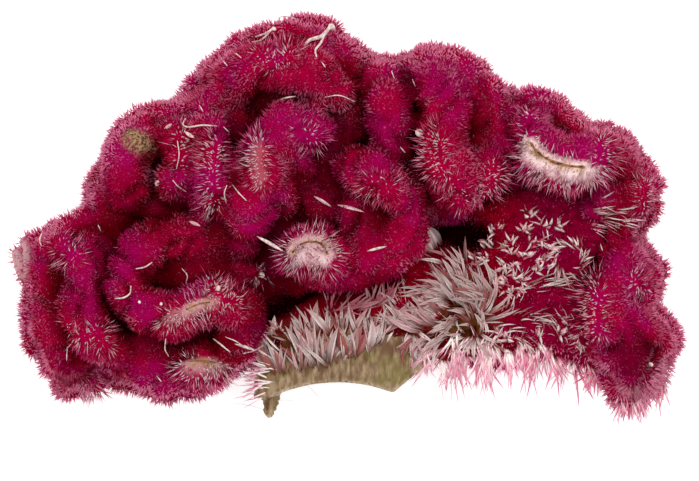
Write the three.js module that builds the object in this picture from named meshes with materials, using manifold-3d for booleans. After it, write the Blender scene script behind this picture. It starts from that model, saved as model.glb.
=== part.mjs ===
// A cut cockscomb celosia head, lying on its back. Millimetres, +Z up, +Y towards the crest, +X along it.
// Three pieces of one plant: the crimson folded crest, the papery florets on the flank below it, and the
// flattened stalk with its cut edge. The origin is the middle of the bounding box, on the surface it lies on.
import * as THREE from "three";
import { mergeVertices } from "three/addons/utils/BufferGeometryUtils.js";
import Module from "manifold-3d";

const wasm = await Module();
wasm.setup();

// ---- Driving dimensions ----
const GAP = 0.3; // clearance between two pieces that touch
const FINEST = 0.05; // the shortest edge that a join or a cut leaves
const PLACE = [0.255, -0.065, 0]; // brings the middle of the finished head onto the origin

// The folds, and their pile, which is larger than life.
const SIDES = 6; // faces round a fold, each raised to a tuft
const TUFT = 3.3; // spacing of the tufts along a fold of the face, and along the others
const COARSE_TUFT = 4;
const PILE = { height: 1.2, spread: 0.35, slip: 0.4 }; // how far a tuft stands up, and how much it varies
const TUFT_ROOM = 0.6; // how far clear of the neighbouring folds a tuft has to stand
const TEPAL_ROOM = 2; // and of the tepals
const END = { radius: 0.68, reach: 0.72, tip: 1.3 }; // the rounded end of a fold, in shares of its radius
const SEEDS = { pile: 7, tepals: 3 }; // of the random draws

// The crest's inner tissue, which the folds stand out of.
const CORE = { low: 6, high: 19, bevel: 1 };

// The flank that carries the papery florets. It thins towards the stalk, to the share that least gives.
const FLANK = { low: 6, high: 19, bevel: 2 };
const FLANK_TAPER = { from: -17, to: -2, least: 0.82 };

// The flattened stalk, and the surface that presses the lowest folds flat.
const STALK = { low: 8.2, high: 16.8, bevel: 2.6 };
const SURFACE = { width: 120, depth: 20 };

// ---- The folds of the crest's face: [x, y, z, radius] along each ridge ----
const FACE_FOLDS = {
  crown: [[-14, 14.5, 19, 2.8], [-11.5, 16.4, 22, 2.8], [-8, 17, 24, 2.8], [-4, 16.6, 24, 3],
    [-1.8, 14.8, 22, 3]],
  crownShoulder: [[-17.6, 12.8, 16, 2.8], [-14.2, 16, 17.4, 2.8], [-10.2, 18.4, 18, 2.9]],
  crownArch: [[-9, 19.4, 17.6, 2.8], [-5.4, 19.6, 18.6, 2.8], [-1.8, 18.2, 17.6, 2.8], [0.4, 16, 17, 2.6]],
  leftBrow: [[-21.5, 10.6, 16, 3], [-25.2, 8.4, 20.5, 3.4], [-25.6, 5, 20.5, 3.4], [-25.8, 1.6, 17.5, 3.2]],
  leftKnob: [[-27.6, 6, 13, 2.3], [-28, 3.6, 13.6, 2.4], [-27.6, 1.2, 14, 2.5]],
  ribA: [[-20.8, 11.2, 17, 2.3], [-19.6, 8, 21.6, 2.4], [-19.3, 5, 22.4, 2.4], [-19.8, 2.6, 19.4, 2.4]],
  ribB: [[-17.4, 12.6, 18, 2.4], [-15.8, 10, 22, 2.5], [-15, 6, 24.4, 2.7], [-15.2, 3, 24.4, 2.7],
    [-15.8, 0.4, 21, 2.5]],
  hook: [[-3.9, 9.8, 23.8, 2.8], [-6.8, 10.8, 24, 2.8], [-9.2, 8.6, 24.2, 2.8],
    [-9.8, 5.6, 24.8, 3], [-10, 2.8, 24.4, 3], [-11.6, 0.2, 23.8, 2.9], [-11.9, -2.4, 22, 2.6]],
  hookSide: [[-9, 3.6, 23, 3], [-7.4, 2, 22.4, 2.8]],
  hookPalm: [[-6.6, 7.6, 22.6, 2.8], [-5.4, 5.4, 20.4, 2.6]],
  centreRim: [[0.8, 5.6, 22.2, 2.7], [3.6, 4.4, 24.2, 2.9], [6, 2.4, 23.6, 2.9], [6.4, -0.8, 22.8, 2.9],
    [5.2, -3.8, 22, 2.8], [2.6, -5.6, 21.6, 2.8], [-0.2, -6.4, 21.4, 2.6]],
  centreLobe: [[-6, -4.8, 22.8, 3], [-4.1, -3.8, 24.6, 3.3], [-2, -4.8, 23.4, 3]],
  centreChin: [[-4.6, -6, 21.8, 2.6], [-1.4, -6.4, 21.4, 2.6]],
  centreFloor: [[1.4, 1.2, 20, 3.2], [1.6, -2.8, 20.4, 3.2]],
  brow: [[2.2, 15.4, 17, 3], [4.6, 14, 21, 3], [4.8, 10.8, 22.4, 3], [5, 8, 21.4, 2.8]],
  plume: [[8.6, 16.2, 16, 3], [11, 14, 21, 3], [11.2, 10, 23.4, 3], [11.2, 6.6, 24.6, 3.2],
    [12.6, 3.6, 24, 3.4]],
  plumeSide: [[15.4, 5.6, 22.4, 2.9], [13.4, 3.6, 22.8, 3.2]],
  outerPlume: [[11, 16.6, 15, 2.7], [14.2, 14.8, 17, 2.6], [16.4, 12, 18.4, 2.6], [17, 9, 20, 2.6],
    [16.6, 6.4, 21, 2.7]],
  mouth: [[20.9, 9.8, 22, 2.8], [21.9, 7.4, 24.4, 3.1], [24.6, 6, 25, 3.2], [27.4, 6.2, 24.6, 3.1],
    [29.8, 7.8, 21.6, 3]],
  mouthBrow: [[20.4, 11.6, 16, 2.9], [23.4, 11.4, 18, 2.9], [26.6, 9.4, 18.6, 3]],
  valleyLeft: [[-22.8, 3.6, 17.2, 2.6], [-21.4, 0, 18, 2.6]],
  valleyRibs: [[-13, 13, 17, 2.5], [-12.6, 8.6, 18.4, 2.5], [-13.2, 4, 19, 2.5]],
  valleyCentre: [[0.4, 13, 17.4, 2.8], [-0.6, 9, 17.8, 2.8], [-2.8, 4.8, 18, 2.8], [-3.4, 1, 18.6, 2.8]],
  valleyBrow: [[8.2, 13.6, 17, 2.5], [8.2, 8.4, 18.4, 2.5], [9, 2.8, 18.4, 2.5]],
  valleyPlume: [[14.4, 11.6, 17.4, 2.4], [14.2, 8, 19, 2.4]],
  valleyRight: [[29.6, 4.4, 17, 2.6], [28.6, 1.8, 18.4, 2.4]],
  valleyJaw: [[-15, -13.4, 19, 2.4], [-19.4, -14.4, 18, 2.4], [-23.4, -13.2, 18.4, 2.4]],
  valleyCheek: [[-27.8, -2.6, 16.4, 2.5], [-28, -8.6, 17.4, 2.5]],
  rightEdge: [[31.4, 6.6, 15, 2.7], [32.4, 3.4, 17, 2.9], [31.6, 0.4, 17, 2.8]],
  rightCheek: [[29.6, -8.6, 21, 2.8], [31.4, -6.2, 19.6, 2.9], [31.4, -3.6, 17, 2.8]],
  rightCurl: [[33, -5.6, 16, 2.6], [33.2, -8.4, 16, 2.7]],
  rightFoot: [[29.6, -12, 21, 2.7], [32.4, -12.6, 20, 2.9], [34.6, -14.2, 16, 2.9]],
  rightToe: [[29.6, -15, 17, 2.8], [32.4, -16, 18, 3], [34, -17, 14.6, 2.8]],
  ring: [[-16.6, -2.6, 20.4, 2.8], [-20.4, -2.6, 22, 2.9], [-23.8, -3.8, 22.2, 2.9], [-24.9, -6.8, 22, 2.9],
    [-24.4, -9.6, 22.4, 2.9], [-21.8, -11.2, 24, 2.9], [-18.4, -10.8, 25, 3], [-15, -9.8, 25, 3.1],
    [-12.4, -11.2, 23, 3]],
  ringFloor: [[-20.8, -6.6, 18.6, 2.9], [-17.4, -6.2, 18.6, 2.9], [-12.4, -6.6, 19.2, 2.9]],
  jaw: [[-24.8, -16, 17, 2.7], [-20.6, -17.4, 19.6, 2.8], [-16.6, -17, 22.4, 2.9], [-13.4, -15.4, 21.4, 2.8],
    [-11.4, -13.6, 20, 2.6]],
  leftFold: [[-30.2, -4.6, 20, 2.5], [-30.8, -8, 21, 2.6], [-30.9, -11.4, 22.2, 2.6], [-29, -13.6, 22.2, 2.6],
    [-27, -15.2, 19.6, 2.6]],
  leftCheek: [[-29.6, -1.6, 16.6, 2.6], [-32.6, -2.8, 18, 2.6], [-34.2, -5.2, 17.6, 2.5]],
  leftShin: [[-34, -8, 16.6, 2.6], [-34, -11.4, 17.4, 2.6], [-33, -14.6, 17.6, 2.7], [-31.2, -16.8, 16, 2.7]],
};

// The lobes along the edge of the head, clockwise as seen from above, as the ridge lines of their folds.
const EDGE_LOBES = [
  [[-9.6, -13.4], [-14, -16.2], [-20, -17.8], [-25, -16.2]],
  [[-29.8, -18.2], [-32.8, -15.8], [-34.8, -12.6], [-35.2, -9.4]],
  [[-35, -7.4], [-35.8, -4.4], [-33, -2.2], [-29.4, -1.6]],
  [[-28, -0.6], [-27.8, 3.6], [-25.4, 8.2], [-20.8, 10.8]],
  [[-18, 12.8], [-15.6, 15.2], [-10.8, 18.9], [-5.4, 20.3], [-0.9, 18.2]],
  [[1.6, 15.4], [5.4, 16], [10, 16.7], [14.2, 15], [17, 11.4]],
  [[19.8, 11.4], [22.6, 12], [25.6, 10.2]],
  [[28.2, 8.6], [31.4, 7.2], [33.6, 3.6], [32.6, -0.2]],
  [[32.2, -3.4], [33.8, -5.8], [33.4, -8.8]],
  [[33.6, -11.6], [35.4, -14], [34.6, -17], [31.6, -18.4]],
];

// Those folds swing up and down as they go.
const EDGE = { height: 11.8, sway: 1.7, wave: 1.9, offset: 2.6, radius: 3.1 };

// The back is a fan of pleats round the point that the head fans out from. They twist a little on their way
// out and lie lowest at one reach. A fold, the hub, runs across their near ends.
const FAN_CENTRE = [0, -18];
const PLEATS = { count: 13, from: 13, to: 173, near: 17, far: 31, twist: 8 };
const PLEAT = { radius: 3.7, lowest: 23, pressed: 0.7, rise: 0.035 };
const HUB = { from: 24, to: 164, steps: 10, reach: 12.6, height: 4.6, radius: 3.2 };

// Outlines seen from above: the crest's inner tissue, and the flank, clockwise.
const CORE_OUTLINE = [
  [-33.4, -5], [-33, -13], [-30.4, -16], [-26.4, -14], [-20, -16], [-13.4, -13.6], [-9.6, -10.6], [-3, -8],
  [4, -6], [8.6, -1.2], [16, 0.4], [24, 0.4], [26.6, -3], [26.4, -7], [27.2, -14], [32.4, -15.6], [33, -9],
  [31.4, -2], [31.4, 4], [26.4, 7.4], [20, 10], [14.4, 13], [6, 14.4], [0, 15.8], [-5.4, 17.6], [-11, 16],
  [-16, 12], [-20.6, 9], [-25, 6.6], [-26.4, 0], [-30.4, -3],
];
const FLANK_OUTLINE = [
  [-10, -17], [-10.6, -13.4], [-7, -9.4], [3, -6.4], [8, -1.4], [12.6, 1.6], [18, 3.4], [26, 3], [28.6, 0],
  [27.6, -8], [28.8, -14.6], [24.6, -16], [17, -15.6], [8.8, -16.8], [7, -15], [3, -15], [2, -17.4],
];

// The stalk before it was cut, its torn strip, and the cut: a shallow hollow arc with a slanting corner.
const STALK_OUTLINE = [
  [-11, -23], [8, -23], [9.4, -17], [8, -13.4], [5, -10.6], [-4, -11], [-8, -14.2], [-10.6, -18.4],
];
const STRIP = [[-8.9, -18.6, 12, 0.95], [-9, -20.6, 12.4, 0.9], [-9.1, -22.8, 13, 0.75]];
const CUT = { from: [-9.4, -20.2], middle: [-2, -17.6], to: [5.2, -20.3], corner: [10.4, -16], steps: 6 };
const CUT_REACH = 40; // how far what was cut away goes on

// ---- The papery florets ----
const TEPAL = { length: 4.3, width: 1.6, thickness: 0.95, sunk: 0.9, dip: 0.3, widest: 0.42, arch: 0.12 };
const TRIED = { root: 0.6, blade: [0.35, 0.7] }; // where along its root and its blade a tepal's room is tried
const SHORTER = [1, 0.75, 0.55]; // the shares of its length that a tepal may keep where room is short
const SPREAD = { lean: 18, leanMore: 24, stray: 20, length: 0.4, place: 0.5 }; // in degrees, and shares
const FIELD = { left: -10, right: 29, low: -17, high: 3, inset: 0.6 };
const FACE_PITCH = 1.85; // spacing of the tepals over the flank's face, and over its back
const BACK_PITCH = 3.1;
const FRINGE = { left: 9.2, right: 28, line: -15.6, pitch: 2.3, fan: 26, bias: 0.1, tilt: 23 }; // lower edge
const SWIRLS = [
  { centre: [13.5, -11], reach: 9, turn: 20 },
  { centre: [25, -5], reach: 4, turn: 80 },
  { centre: [21.5, -12], reach: 4, turn: 60 },
];
const SWIRL_PULL = 4;

// ---- Small tools ----
const DEGREE = Math.PI / 180;
const ROW = Math.sqrt(3) / 2; // spacing of the rows of a staggered field, for a pitch of 1

// A repeatable random number from 0 to 1.
function seeded(seed) {
  let state = seed >>> 0;
  return () => {
    state = (state + 0x6d2b79f5) >>> 0;
    let t = state;
    t = Math.imul(t ^ (t >>> 15), t | 1);
    t ^= t + Math.imul(t ^ (t >>> 7), t | 61);
    return ((t ^ (t >>> 14)) >>> 0) / 2 ** 32;
  };
}

// A closed three.js geometry as a solid that can be joined and cut.
function solid(geometry) {
  const bare = new THREE.BufferGeometry().setAttribute("position", geometry.getAttribute("position"));
  const merged = mergeVertices(bare.setIndex(geometry.index), 1e-4);
  const vertProperties = merged.attributes.position.array;
  const triVerts = new Uint32Array(merged.index.array);
  return new wasm.Manifold(new wasm.Mesh({ numProp: 3, vertProperties, triVerts, tolerance: FINEST }));
}

// A solid from its corners and its triangles.
function solidOf(corners, faces) {
  const position = new THREE.BufferAttribute(new Float32Array(corners.flatMap((p) => p.toArray())), 3);
  return solid(new THREE.BufferGeometry().setAttribute("position", position).setIndex(faces.flat()));
}

// The largest body of a solid, with sealed hollows filled and loose scraps dropped.
function oneBody(manifold) {
  return manifold.decompose().reduce((best, body) => (body.volume() > best.volume() ? body : best));
}

// A clockwise outline moved inwards by a distance, corner by corner.
function moveInwards(outline, distance) {
  return outline.map(([x, y], i) => {
    const before = outline.at(i - 1);
    const after = outline[(i + 1) % outline.length];
    const along = new THREE.Vector2(after[0] - before[0], after[1] - before[1]).normalize();
    return [x + along.y * distance, y - along.x * distance];
  });
}

// Says whether a point seen from above is inside an outline.
function isInside([x, y], outline) {
  let inside = false;
  outline.forEach(([x1, y1], i) => {
    const [x2, y2] = outline[(i + 1) % outline.length];
    if (y1 > y !== y2 > y && x < x1 + ((x2 - x1) * (y - y1)) / (y2 - y1)) inside = !inside;
  });
  return inside;
}

// ---- Folds ----
// The rings of a fold, a spacing apart: their centres, radii and directions.
function rings(points, spacing) {
  const ridge = points.map(([x, y, z]) => new THREE.Vector3(x, y, z));
  const curve = new THREE.CatmullRomCurve3(ridge, false, "centripetal");
  const count = Math.max(2, Math.round(curve.getLength() / spacing));
  const frames = curve.computeFrenetFrames(count, false);
  return Array.from({ length: count + 1 }, (_, i) => {
    const at = curve.getUtoTmapping(i / count) * (points.length - 1);
    const low = Math.min(points.length - 2, Math.floor(at));
    return {
      centre: curve.getPointAt(i / count),
      along: frames.tangents[i],
      side: frames.normals[i],
      up: frames.binormals[i],
      radius: THREE.MathUtils.lerp(points[low][3], points[low + 1][3], at - low),
    };
  });
}

// The smaller ring that rounds off an end of a fold.
function endRing(ring, way) {
  const centre = ring.centre.clone().addScaledVector(ring.along, way * ring.radius * END.reach);
  return { ...ring, centre, radius: ring.radius * END.radius };
}

// The corners of a ring.
function ringCorners({ centre, side, up, radius }) {
  return Array.from({ length: SIDES }, (_, j) => {
    const turn = (2 * Math.PI * j) / SIDES;
    const out = side.clone().multiplyScalar(Math.cos(turn)).addScaledVector(up, Math.sin(turn));
    return centre.clone().addScaledVector(out, radius);
  });
}

// The tip of the tuft on a face between two rings.
function tuftTip(face, ring, next, random) {
  const middle = face.reduce((sum, p) => sum.add(p), new THREE.Vector3()).multiplyScalar(1 / face.length);
  const out = middle.clone().sub(ring.centre.clone().lerp(next.centre, 0.5)).normalize();
  const height = PILE.height * (1 + PILE.spread * (random() - 0.5));
  return middle.addScaledVector(out, height).addScaledVector(ring.along, PILE.slip * TUFT * (random() - 0.5));
}

// A round-ended fold through its rings, each face of which is raised to a tuft where hasTuft says so.
function fold(line, hasTuft, random) {
  const all = [endRing(line[0], -1), ...line, endRing(line.at(-1), 1)];
  const corners = all.flatMap(ringCorners);
  const faces = [];
  for (let i = 0; i + 1 < all.length; i++)
    for (let j = 0; j < SIDES; j++) {
      const next = (j + 1) % SIDES;
      const quad = [i * SIDES + j, i * SIDES + next, (i + 1) * SIDES + next, (i + 1) * SIDES + j];
      const tip = tuftTip(quad.map((k) => corners[k]), all[i], all[i + 1], random);
      if (hasTuft(tip)) {
        quad.forEach((k, n) => faces.push([k, quad[(n + 1) % quad.length], corners.length]));
        corners.push(tip);
      } else faces.push([quad[0], quad[1], quad[2]], [quad[0], quad[2], quad[3]]);
    }
  for (const [ring, way, start] of [[line[0], -1, 0], [line.at(-1), 1, (all.length - 1) * SIDES]]) {
    for (let j = 0; j < SIDES; j++) {
      const pair = [start + j, start + ((j + 1) % SIDES)];
      faces.push([...(way > 0 ? pair : pair.reverse()), corners.length]);
    }
    corners.push(ring.centre.clone().addScaledVector(ring.along, way * ring.radius * END.tip));
  }
  return solidOf(corners, faces);
}

// The folds along the edge.
function edgeFolds() {
  return EDGE_LOBES.map((lobe, n) =>
    lobe.map(([x, y], i) => {
      const swing = Math.sin(EDGE.wave * (i + EDGE.offset * n));
      return [x, y, EDGE.height + EDGE.sway * swing, EDGE.radius];
    }),
  );
}

// A point of the back at a reach and an angle from the point that the head fans out from.
function backPoint(reach, angle, height) {
  const away = new THREE.Vector2(reach, 0).rotateAround(new THREE.Vector2(), angle * DEGREE);
  return [FAN_CENTRE[0] + away.x, FAN_CENTRE[1] + away.y, height];
}

// The pleats of the back.
function pleats() {
  return Array.from({ length: PLEATS.count }, (_, n) =>
    [0, 0.5, 1].map((share) => {
      const reach = THREE.MathUtils.lerp(PLEATS.near, PLEATS.far, share);
      const start = THREE.MathUtils.lerp(PLEATS.from, PLEATS.to, n / (PLEATS.count - 1));
      const height = PLEAT.radius - PLEAT.pressed + PLEAT.rise * (reach - PLEAT.lowest) ** 2;
      return [...backPoint(reach, start + PLEATS.twist * share ** 2, height), PLEAT.radius];
    }),
  );
}

// The fold that runs across the near ends of the pleats.
function hub() {
  return Array.from({ length: HUB.steps + 1 }, (_, i) => {
    const angle = THREE.MathUtils.lerp(HUB.from, HUB.to, i / HUB.steps);
    return [...backPoint(HUB.reach, angle, HUB.height), HUB.radius];
  });
}

// ---- Slabs ----
// A flat solid with bevelled edges, of an outline seen from above, and grown all round by a distance.
function slab(outline, { low, high, bevel }, grow = 0) {
  const shape = new THREE.Shape(outline.map(([x, y]) => new THREE.Vector2(x, y)));
  const geometry = new THREE.ExtrudeGeometry(shape, {
    depth: high - low + 2 * (grow - bevel),
    steps: 1,
    bevelThickness: bevel,
    bevelSize: bevel,
    bevelOffset: grow - bevel,
    bevelSegments: 1,
  });
  return geometry.translate(0, 0, low - grow + bevel);
}

// A height on the untapered flank, brought in towards its middle plane.
function taper(y, z) {
  const share = THREE.MathUtils.clamp(THREE.MathUtils.inverseLerp(FLANK_TAPER.from, FLANK_TAPER.to, y), 0, 1);
  const middle = (FLANK.low + FLANK.high) / 2;
  return middle + (z - middle) * THREE.MathUtils.lerp(FLANK_TAPER.least, 1, share);
}

// How far the bevel of the flank lies below its face at a place.
function bevelDrop([x, y]) {
  const point = new THREE.Vector3(x, y, 0);
  const corners = FLANK_OUTLINE.map(([cx, cy]) => new THREE.Vector3(cx, cy, 0));
  const distances = corners.map((corner, i) => {
    const edge = new THREE.Line3(corner, corners[(i + 1) % corners.length]);
    return edge.closestPointToPoint(point, true, new THREE.Vector3()).distanceTo(point);
  });
  return Math.max(0, FLANK.bevel - Math.min(...distances));
}

// The flank's tissue, grown all round by a distance.
function flank(grow = 0) {
  const geometry = slab(FLANK_OUTLINE, FLANK, grow);
  const position = geometry.getAttribute("position");
  for (let i = 0; i < position.count; i++) position.setZ(i, taper(position.getY(i), position.getZ(i)));
  return solid(geometry);
}

// What was cut away below the stalk.
function cutAway(grow) {
  const ends = [CUT.from, CUT.middle, CUT.to].map(([x, y]) => new THREE.Vector2(x, y));
  const arc = new THREE.QuadraticBezierCurve(...ends).getPoints(CUT.steps);
  const edge = [[-CUT_REACH, CUT.from[1]], ...arc.map((p) => p.toArray()), CUT.corner];
  const outline = [...edge, [CUT_REACH, -CUT_REACH], [-CUT_REACH, -CUT_REACH]].map(([x, y]) => [x, y - grow]);
  return solid(slab(outline, { low: 0, high: CUT_REACH, bevel: 0 }));
}

// The surface that the head lies on.
function surface() {
  const geometry = new THREE.BoxGeometry(SURFACE.width, SURFACE.width, SURFACE.depth);
  return solid(geometry.translate(0, 0, -SURFACE.depth / 2));
}

// ---- Tepals ----
// The heading of the tepals at a place on the flank: away from the stalk, but turned about each swirl nearby.
function heading(x, y) {
  const flow = new THREE.Vector2(x - FAN_CENTRE[0], y - FAN_CENTRE[1]).normalize();
  for (const { centre, reach, turn } of SWIRLS) {
    const away = new THREE.Vector2(x - centre[0], y - centre[1]);
    const pull = SWIRL_PULL * Math.max(0, 1 - away.length() / reach);
    flow.addScaledVector(away.normalize().rotateAround(new THREE.Vector2(), turn * DEGREE), pull);
  }
  return flow.normalize();
}

// The tepals on one side of the flank: their roots, the way they point and the way their flat side faces.
function sideTepals(pitch, height, facing, random) {
  const field = moveInwards(FLANK_OUTLINE, FIELD.inset);
  const places = [];
  for (let row = 0, y = FIELD.low; y < FIELD.high; row++, y += pitch * ROW)
    for (let x = FIELD.left + (row % 2) * pitch * 0.5; x < FIELD.right; x += pitch) {
      const at = [x, y].map((value) => value + pitch * SPREAD.place * (random() - 0.5));
      const lean = (SPREAD.lean + SPREAD.leanMore * random()) * DEGREE;
      const stray = 2 * SPREAD.stray * DEGREE * (random() - 0.5);
      const way = heading(...at).rotateAround(new THREE.Vector2(), stray);
      const isUnderCrest = bevelDrop(at) > GAP && isInside(at, CORE_OUTLINE);
      if (isUnderCrest || !isInside(at, field)) continue;
      places.push({
        root: new THREE.Vector3(...at, taper(at[1], height - facing * bevelDrop(at))),
        way: new THREE.Vector3(way.x * Math.cos(lean), way.y * Math.cos(lean), facing * Math.sin(lean)),
        face: new THREE.Vector3(-way.x * Math.sin(lean), -way.y * Math.sin(lean), facing * Math.cos(lean)),
      });
    }
  return places;
}

// The fringe of tepals along the flank's lower edge.
function fringeTepals(random) {
  const places = [];
  const top = FLANK.high - FLANK.bevel / 2;
  for (let row = 0, z = FLANK.low + FLANK.bevel; z < top; row++, z += FRINGE.pitch * ROW)
    for (let x = FRINGE.left + (row % 2) * FRINGE.pitch * 0.5; x < FRINGE.right; x += FRINGE.pitch) {
      const fan = 2 * FRINGE.fan * DEGREE * (random() - 0.5 + FRINGE.bias);
      const tilt = 2 * FRINGE.tilt * DEGREE * (random() - 0.5);
      const way = new THREE.Vector3(Math.sin(fan), -Math.cos(fan), Math.tan(tilt)).normalize();
      const face = new THREE.Vector3(0, 0, 1).addScaledVector(way, -way.z).normalize();
      places.push({ root: new THREE.Vector3(x, FRINGE.line, z), way, face });
    }
  return places;
}

// The corners of a tepal, a narrow pointed blade that is thickest down the middle and arches back to its tip.
function tepalCorners({ root, way, face }, length) {
  const side = way.clone().cross(face);
  const at = (along, across, lift) =>
    root.clone().addScaledVector(way, along).addScaledVector(side, across).addScaledVector(face, lift);
  const middle = length * TEPAL.widest;
  return [
    at(-TEPAL.sunk, 0, -TEPAL.dip),
    at(middle, -TEPAL.width / 2, 0),
    at(middle, 0, -TEPAL.thickness / 2),
    at(middle, TEPAL.width / 2, 0),
    at(middle, 0, TEPAL.thickness / 2),
    at(length, 0, -TEPAL.arch * length),
  ];
}

// Points down the middle of a tepal.
function tepalLine([root, , , , top, tip]) {
  const blade = TRIED.blade.map((share) => top.clone().lerp(tip, share));
  return [root.clone().lerp(top, TRIED.root), top, ...blade, tip];
}

// Says whether a point is less than some room away from a fold.
function isNearFold(point, line, room) {
  return line.slice(1).some((ring, i) => {
    const axis = new THREE.Line3(line[i].centre, ring.centre);
    const nearest = axis.closestPointToPoint(point, true, new THREE.Vector3());
    return nearest.distanceTo(point) < Math.max(line[i].radius, ring.radius) + room;
  });
}

// Says whether a point is in the crest's inner tissue, which also covers the flank's bevel, or less than some
// room above or below it.
function isInCore({ x, y, z }, room) {
  const isLevel = z > CORE.low - room && z < CORE.high + room;
  const isOnFlank = isInside([x, y], FLANK_OUTLINE) && bevelDrop([x, y]) === 0;
  return isLevel && isInside([x, y], CORE_OUTLINE) && !isOnFlank;
}

// The tepals that stand clear of the crest, shortened where they have to be.
function clearTepals(lines) {
  const random = seeded(SEEDS.tepals);
  const places = [
    ...sideTepals(FACE_PITCH, FLANK.high, 1, random),
    ...sideTepals(BACK_PITCH, FLANK.low, -1, random),
    ...fringeTepals(random),
  ];
  return places.flatMap((place) => {
    const length = TEPAL.length * (1 + SPREAD.length * (random() - 0.5));
    const meetsCrest = (p) => isInCore(p, 2 * GAP) || lines.some((line) => isNearFold(p, line, 2 * GAP));
    const isClear = (corners) => ![...corners.slice(1), ...tepalLine(corners)].some(meetsCrest);
    const kept = SHORTER.map((share) => tepalCorners(place, length * share)).find(isClear);
    return kept ? [kept] : [];
  });
}

function tepal(corners) {
  const root = 0;
  const tip = 5;
  return solidOf(corners, [1, 2, 3, 4].flatMap((j) => [[root, j, (j % 4) + 1], [(j % 4) + 1, j, tip]]));
}

// ---- The three pieces ----
// The stalk, with the torn strip at the left end of its cut edge, grown all round by a distance.
function stalkShape(grow = 0) {
  const strip = STRIP.map(([x, y, z, radius]) => [x, y, z, radius + grow]);
  const body = solid(slab(STALK_OUTLINE, STALK, grow)).subtract(cutAway(grow));
  return body.add(fold(rings(strip, TUFT), () => false, () => 0));
}

// The flank with its tepals, and a pocket for the stalk.
function floretsShape(tepals) {
  return wasm.Manifold.union([flank(), ...tepals.map(tepal)]).subtract(stalkShape(GAP));
}

// The crest with its pile, pressed flat where it lies, and with a pocket for the flank and the stalk.
function crestShape(lines, tepals) {
  const random = seeded(SEEDS.pile);
  const near = tepals.flatMap(tepalLine);
  const folds = lines.map((line) => {
    const isBuried = (tip) => lines.some((other) => other !== line && isNearFold(tip, other, TUFT_ROOM));
    const meetsTepal = (tip) => near.some((p) => p.distanceTo(tip) < TEPAL_ROOM);
    return fold(line, (tip) => !isBuried(tip) && !meetsTepal(tip), random);
  });
  const pocket = wasm.Manifold.union([surface(), flank(GAP), stalkShape(GAP)]);
  return wasm.Manifold.union([solid(slab(CORE_OUTLINE, CORE)), ...folds]).subtract(pocket);
}

function piece(name, manifold, material) {
  const made = oneBody(manifold).getMesh();
  const geometry = new THREE.BufferGeometry();
  geometry.setAttribute("position", new THREE.BufferAttribute(made.vertProperties, 3));
  geometry.setIndex(new THREE.BufferAttribute(made.triVerts, 1)).computeVertexNormals();
  const mesh = new THREE.Mesh(geometry, material);
  mesh.name = name;
  return mesh;
}

const lines = [
  ...Object.values(FACE_FOLDS).map((points) => rings(points, TUFT)),
  ...[...edgeFolds(), ...pleats(), hub()].map((points) => rings(points, COARSE_TUFT)),
];
const tepals = clearTepals(lines);

const crimson = new THREE.MeshStandardMaterial({ color: 0x7e0330, roughness: 0.85, metalness: 0 });
const silverPink = new THREE.MeshStandardMaterial({ color: 0xb5858f, roughness: 0.6, metalness: 0 });
const paleGreen = new THREE.MeshStandardMaterial({ color: 0x978164, roughness: 0.8, metalness: 0 });

const head = new THREE.Group();
head.add(piece("crest", crestShape(lines, tepals), crimson));
head.add(piece("florets", floretsShape(tepals), silverPink));
head.add(piece("stalk", stalkShape(), paleGreen));
head.position.set(...PLACE);
export default head;
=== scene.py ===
"""Looks of a cut cockscomb celosia head that lies on its back.

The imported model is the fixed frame. The pieces made here stand for its nodes: the folded tissue of the crest
with its pile of bristles, the papery florets of the flank, the stalk with its cut edge, and what has strayed
onto them. Places are written in millimetres in the plant's own frame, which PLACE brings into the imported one.
"""

from __future__ import annotations

import logging
import math
from collections.abc import Sequence
from dataclasses import dataclass, field
from enum import Enum

import bmesh
import bpy
import numpy as np
from bmesh.types import BMEdge, BMesh, BMVert
from bpy.types import Material, Mesh, NodeSocket, Object
from mathutils import Matrix, Quaternion, Vector, noise
from mathutils.bvhtree import BVHTree

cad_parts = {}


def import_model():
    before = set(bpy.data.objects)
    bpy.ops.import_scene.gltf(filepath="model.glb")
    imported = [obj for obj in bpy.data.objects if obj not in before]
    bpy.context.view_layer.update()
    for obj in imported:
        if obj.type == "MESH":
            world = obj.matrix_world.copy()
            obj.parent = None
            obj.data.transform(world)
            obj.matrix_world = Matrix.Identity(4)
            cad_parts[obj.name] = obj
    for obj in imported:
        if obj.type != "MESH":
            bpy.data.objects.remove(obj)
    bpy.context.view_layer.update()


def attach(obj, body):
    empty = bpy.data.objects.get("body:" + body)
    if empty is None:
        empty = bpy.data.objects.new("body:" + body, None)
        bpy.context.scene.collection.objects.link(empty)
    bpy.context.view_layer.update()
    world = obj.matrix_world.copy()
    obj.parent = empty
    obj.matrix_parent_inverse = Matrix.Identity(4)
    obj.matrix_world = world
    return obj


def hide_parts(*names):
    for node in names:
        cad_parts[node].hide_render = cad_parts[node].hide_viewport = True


log = logging.getLogger("celosia")

MM = 0.001
PLACE: tuple[float, float, float] = (0.255, -0.065, 0.0)
BODY = "root"
UP = Vector((0, 0, 1))
FAR = 80.0  # beyond the head, in millimetres
LAYER = 3.6  # how far down a mark on the face reaches, in millimetres

Points = Sequence[Sequence[float]]
Colour = tuple[float, float, float, float]
Stops = Sequence[tuple[float, Colour]]


class Seed(Enum):
    """The seeds of the random draws."""

    PILE = 11
    FLORETS = 12
    FRINGE = 13
    STRAYS = 14
    TONES = 15

    def draws(self) -> np.random.Generator:
        """A generator of random numbers that starts from the seed."""
        return np.random.default_rng(self.value)


def colour(red: int, green: int, blue: int) -> Colour:
    """A linear colour from its display values, 0 to 255."""
    linear = [((c / 255 + 0.055) / 1.055) ** 2.4 if c > 10 else c / 255 / 12.92 for c in (red, green, blue)]
    return (*linear, 1.0)


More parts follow.
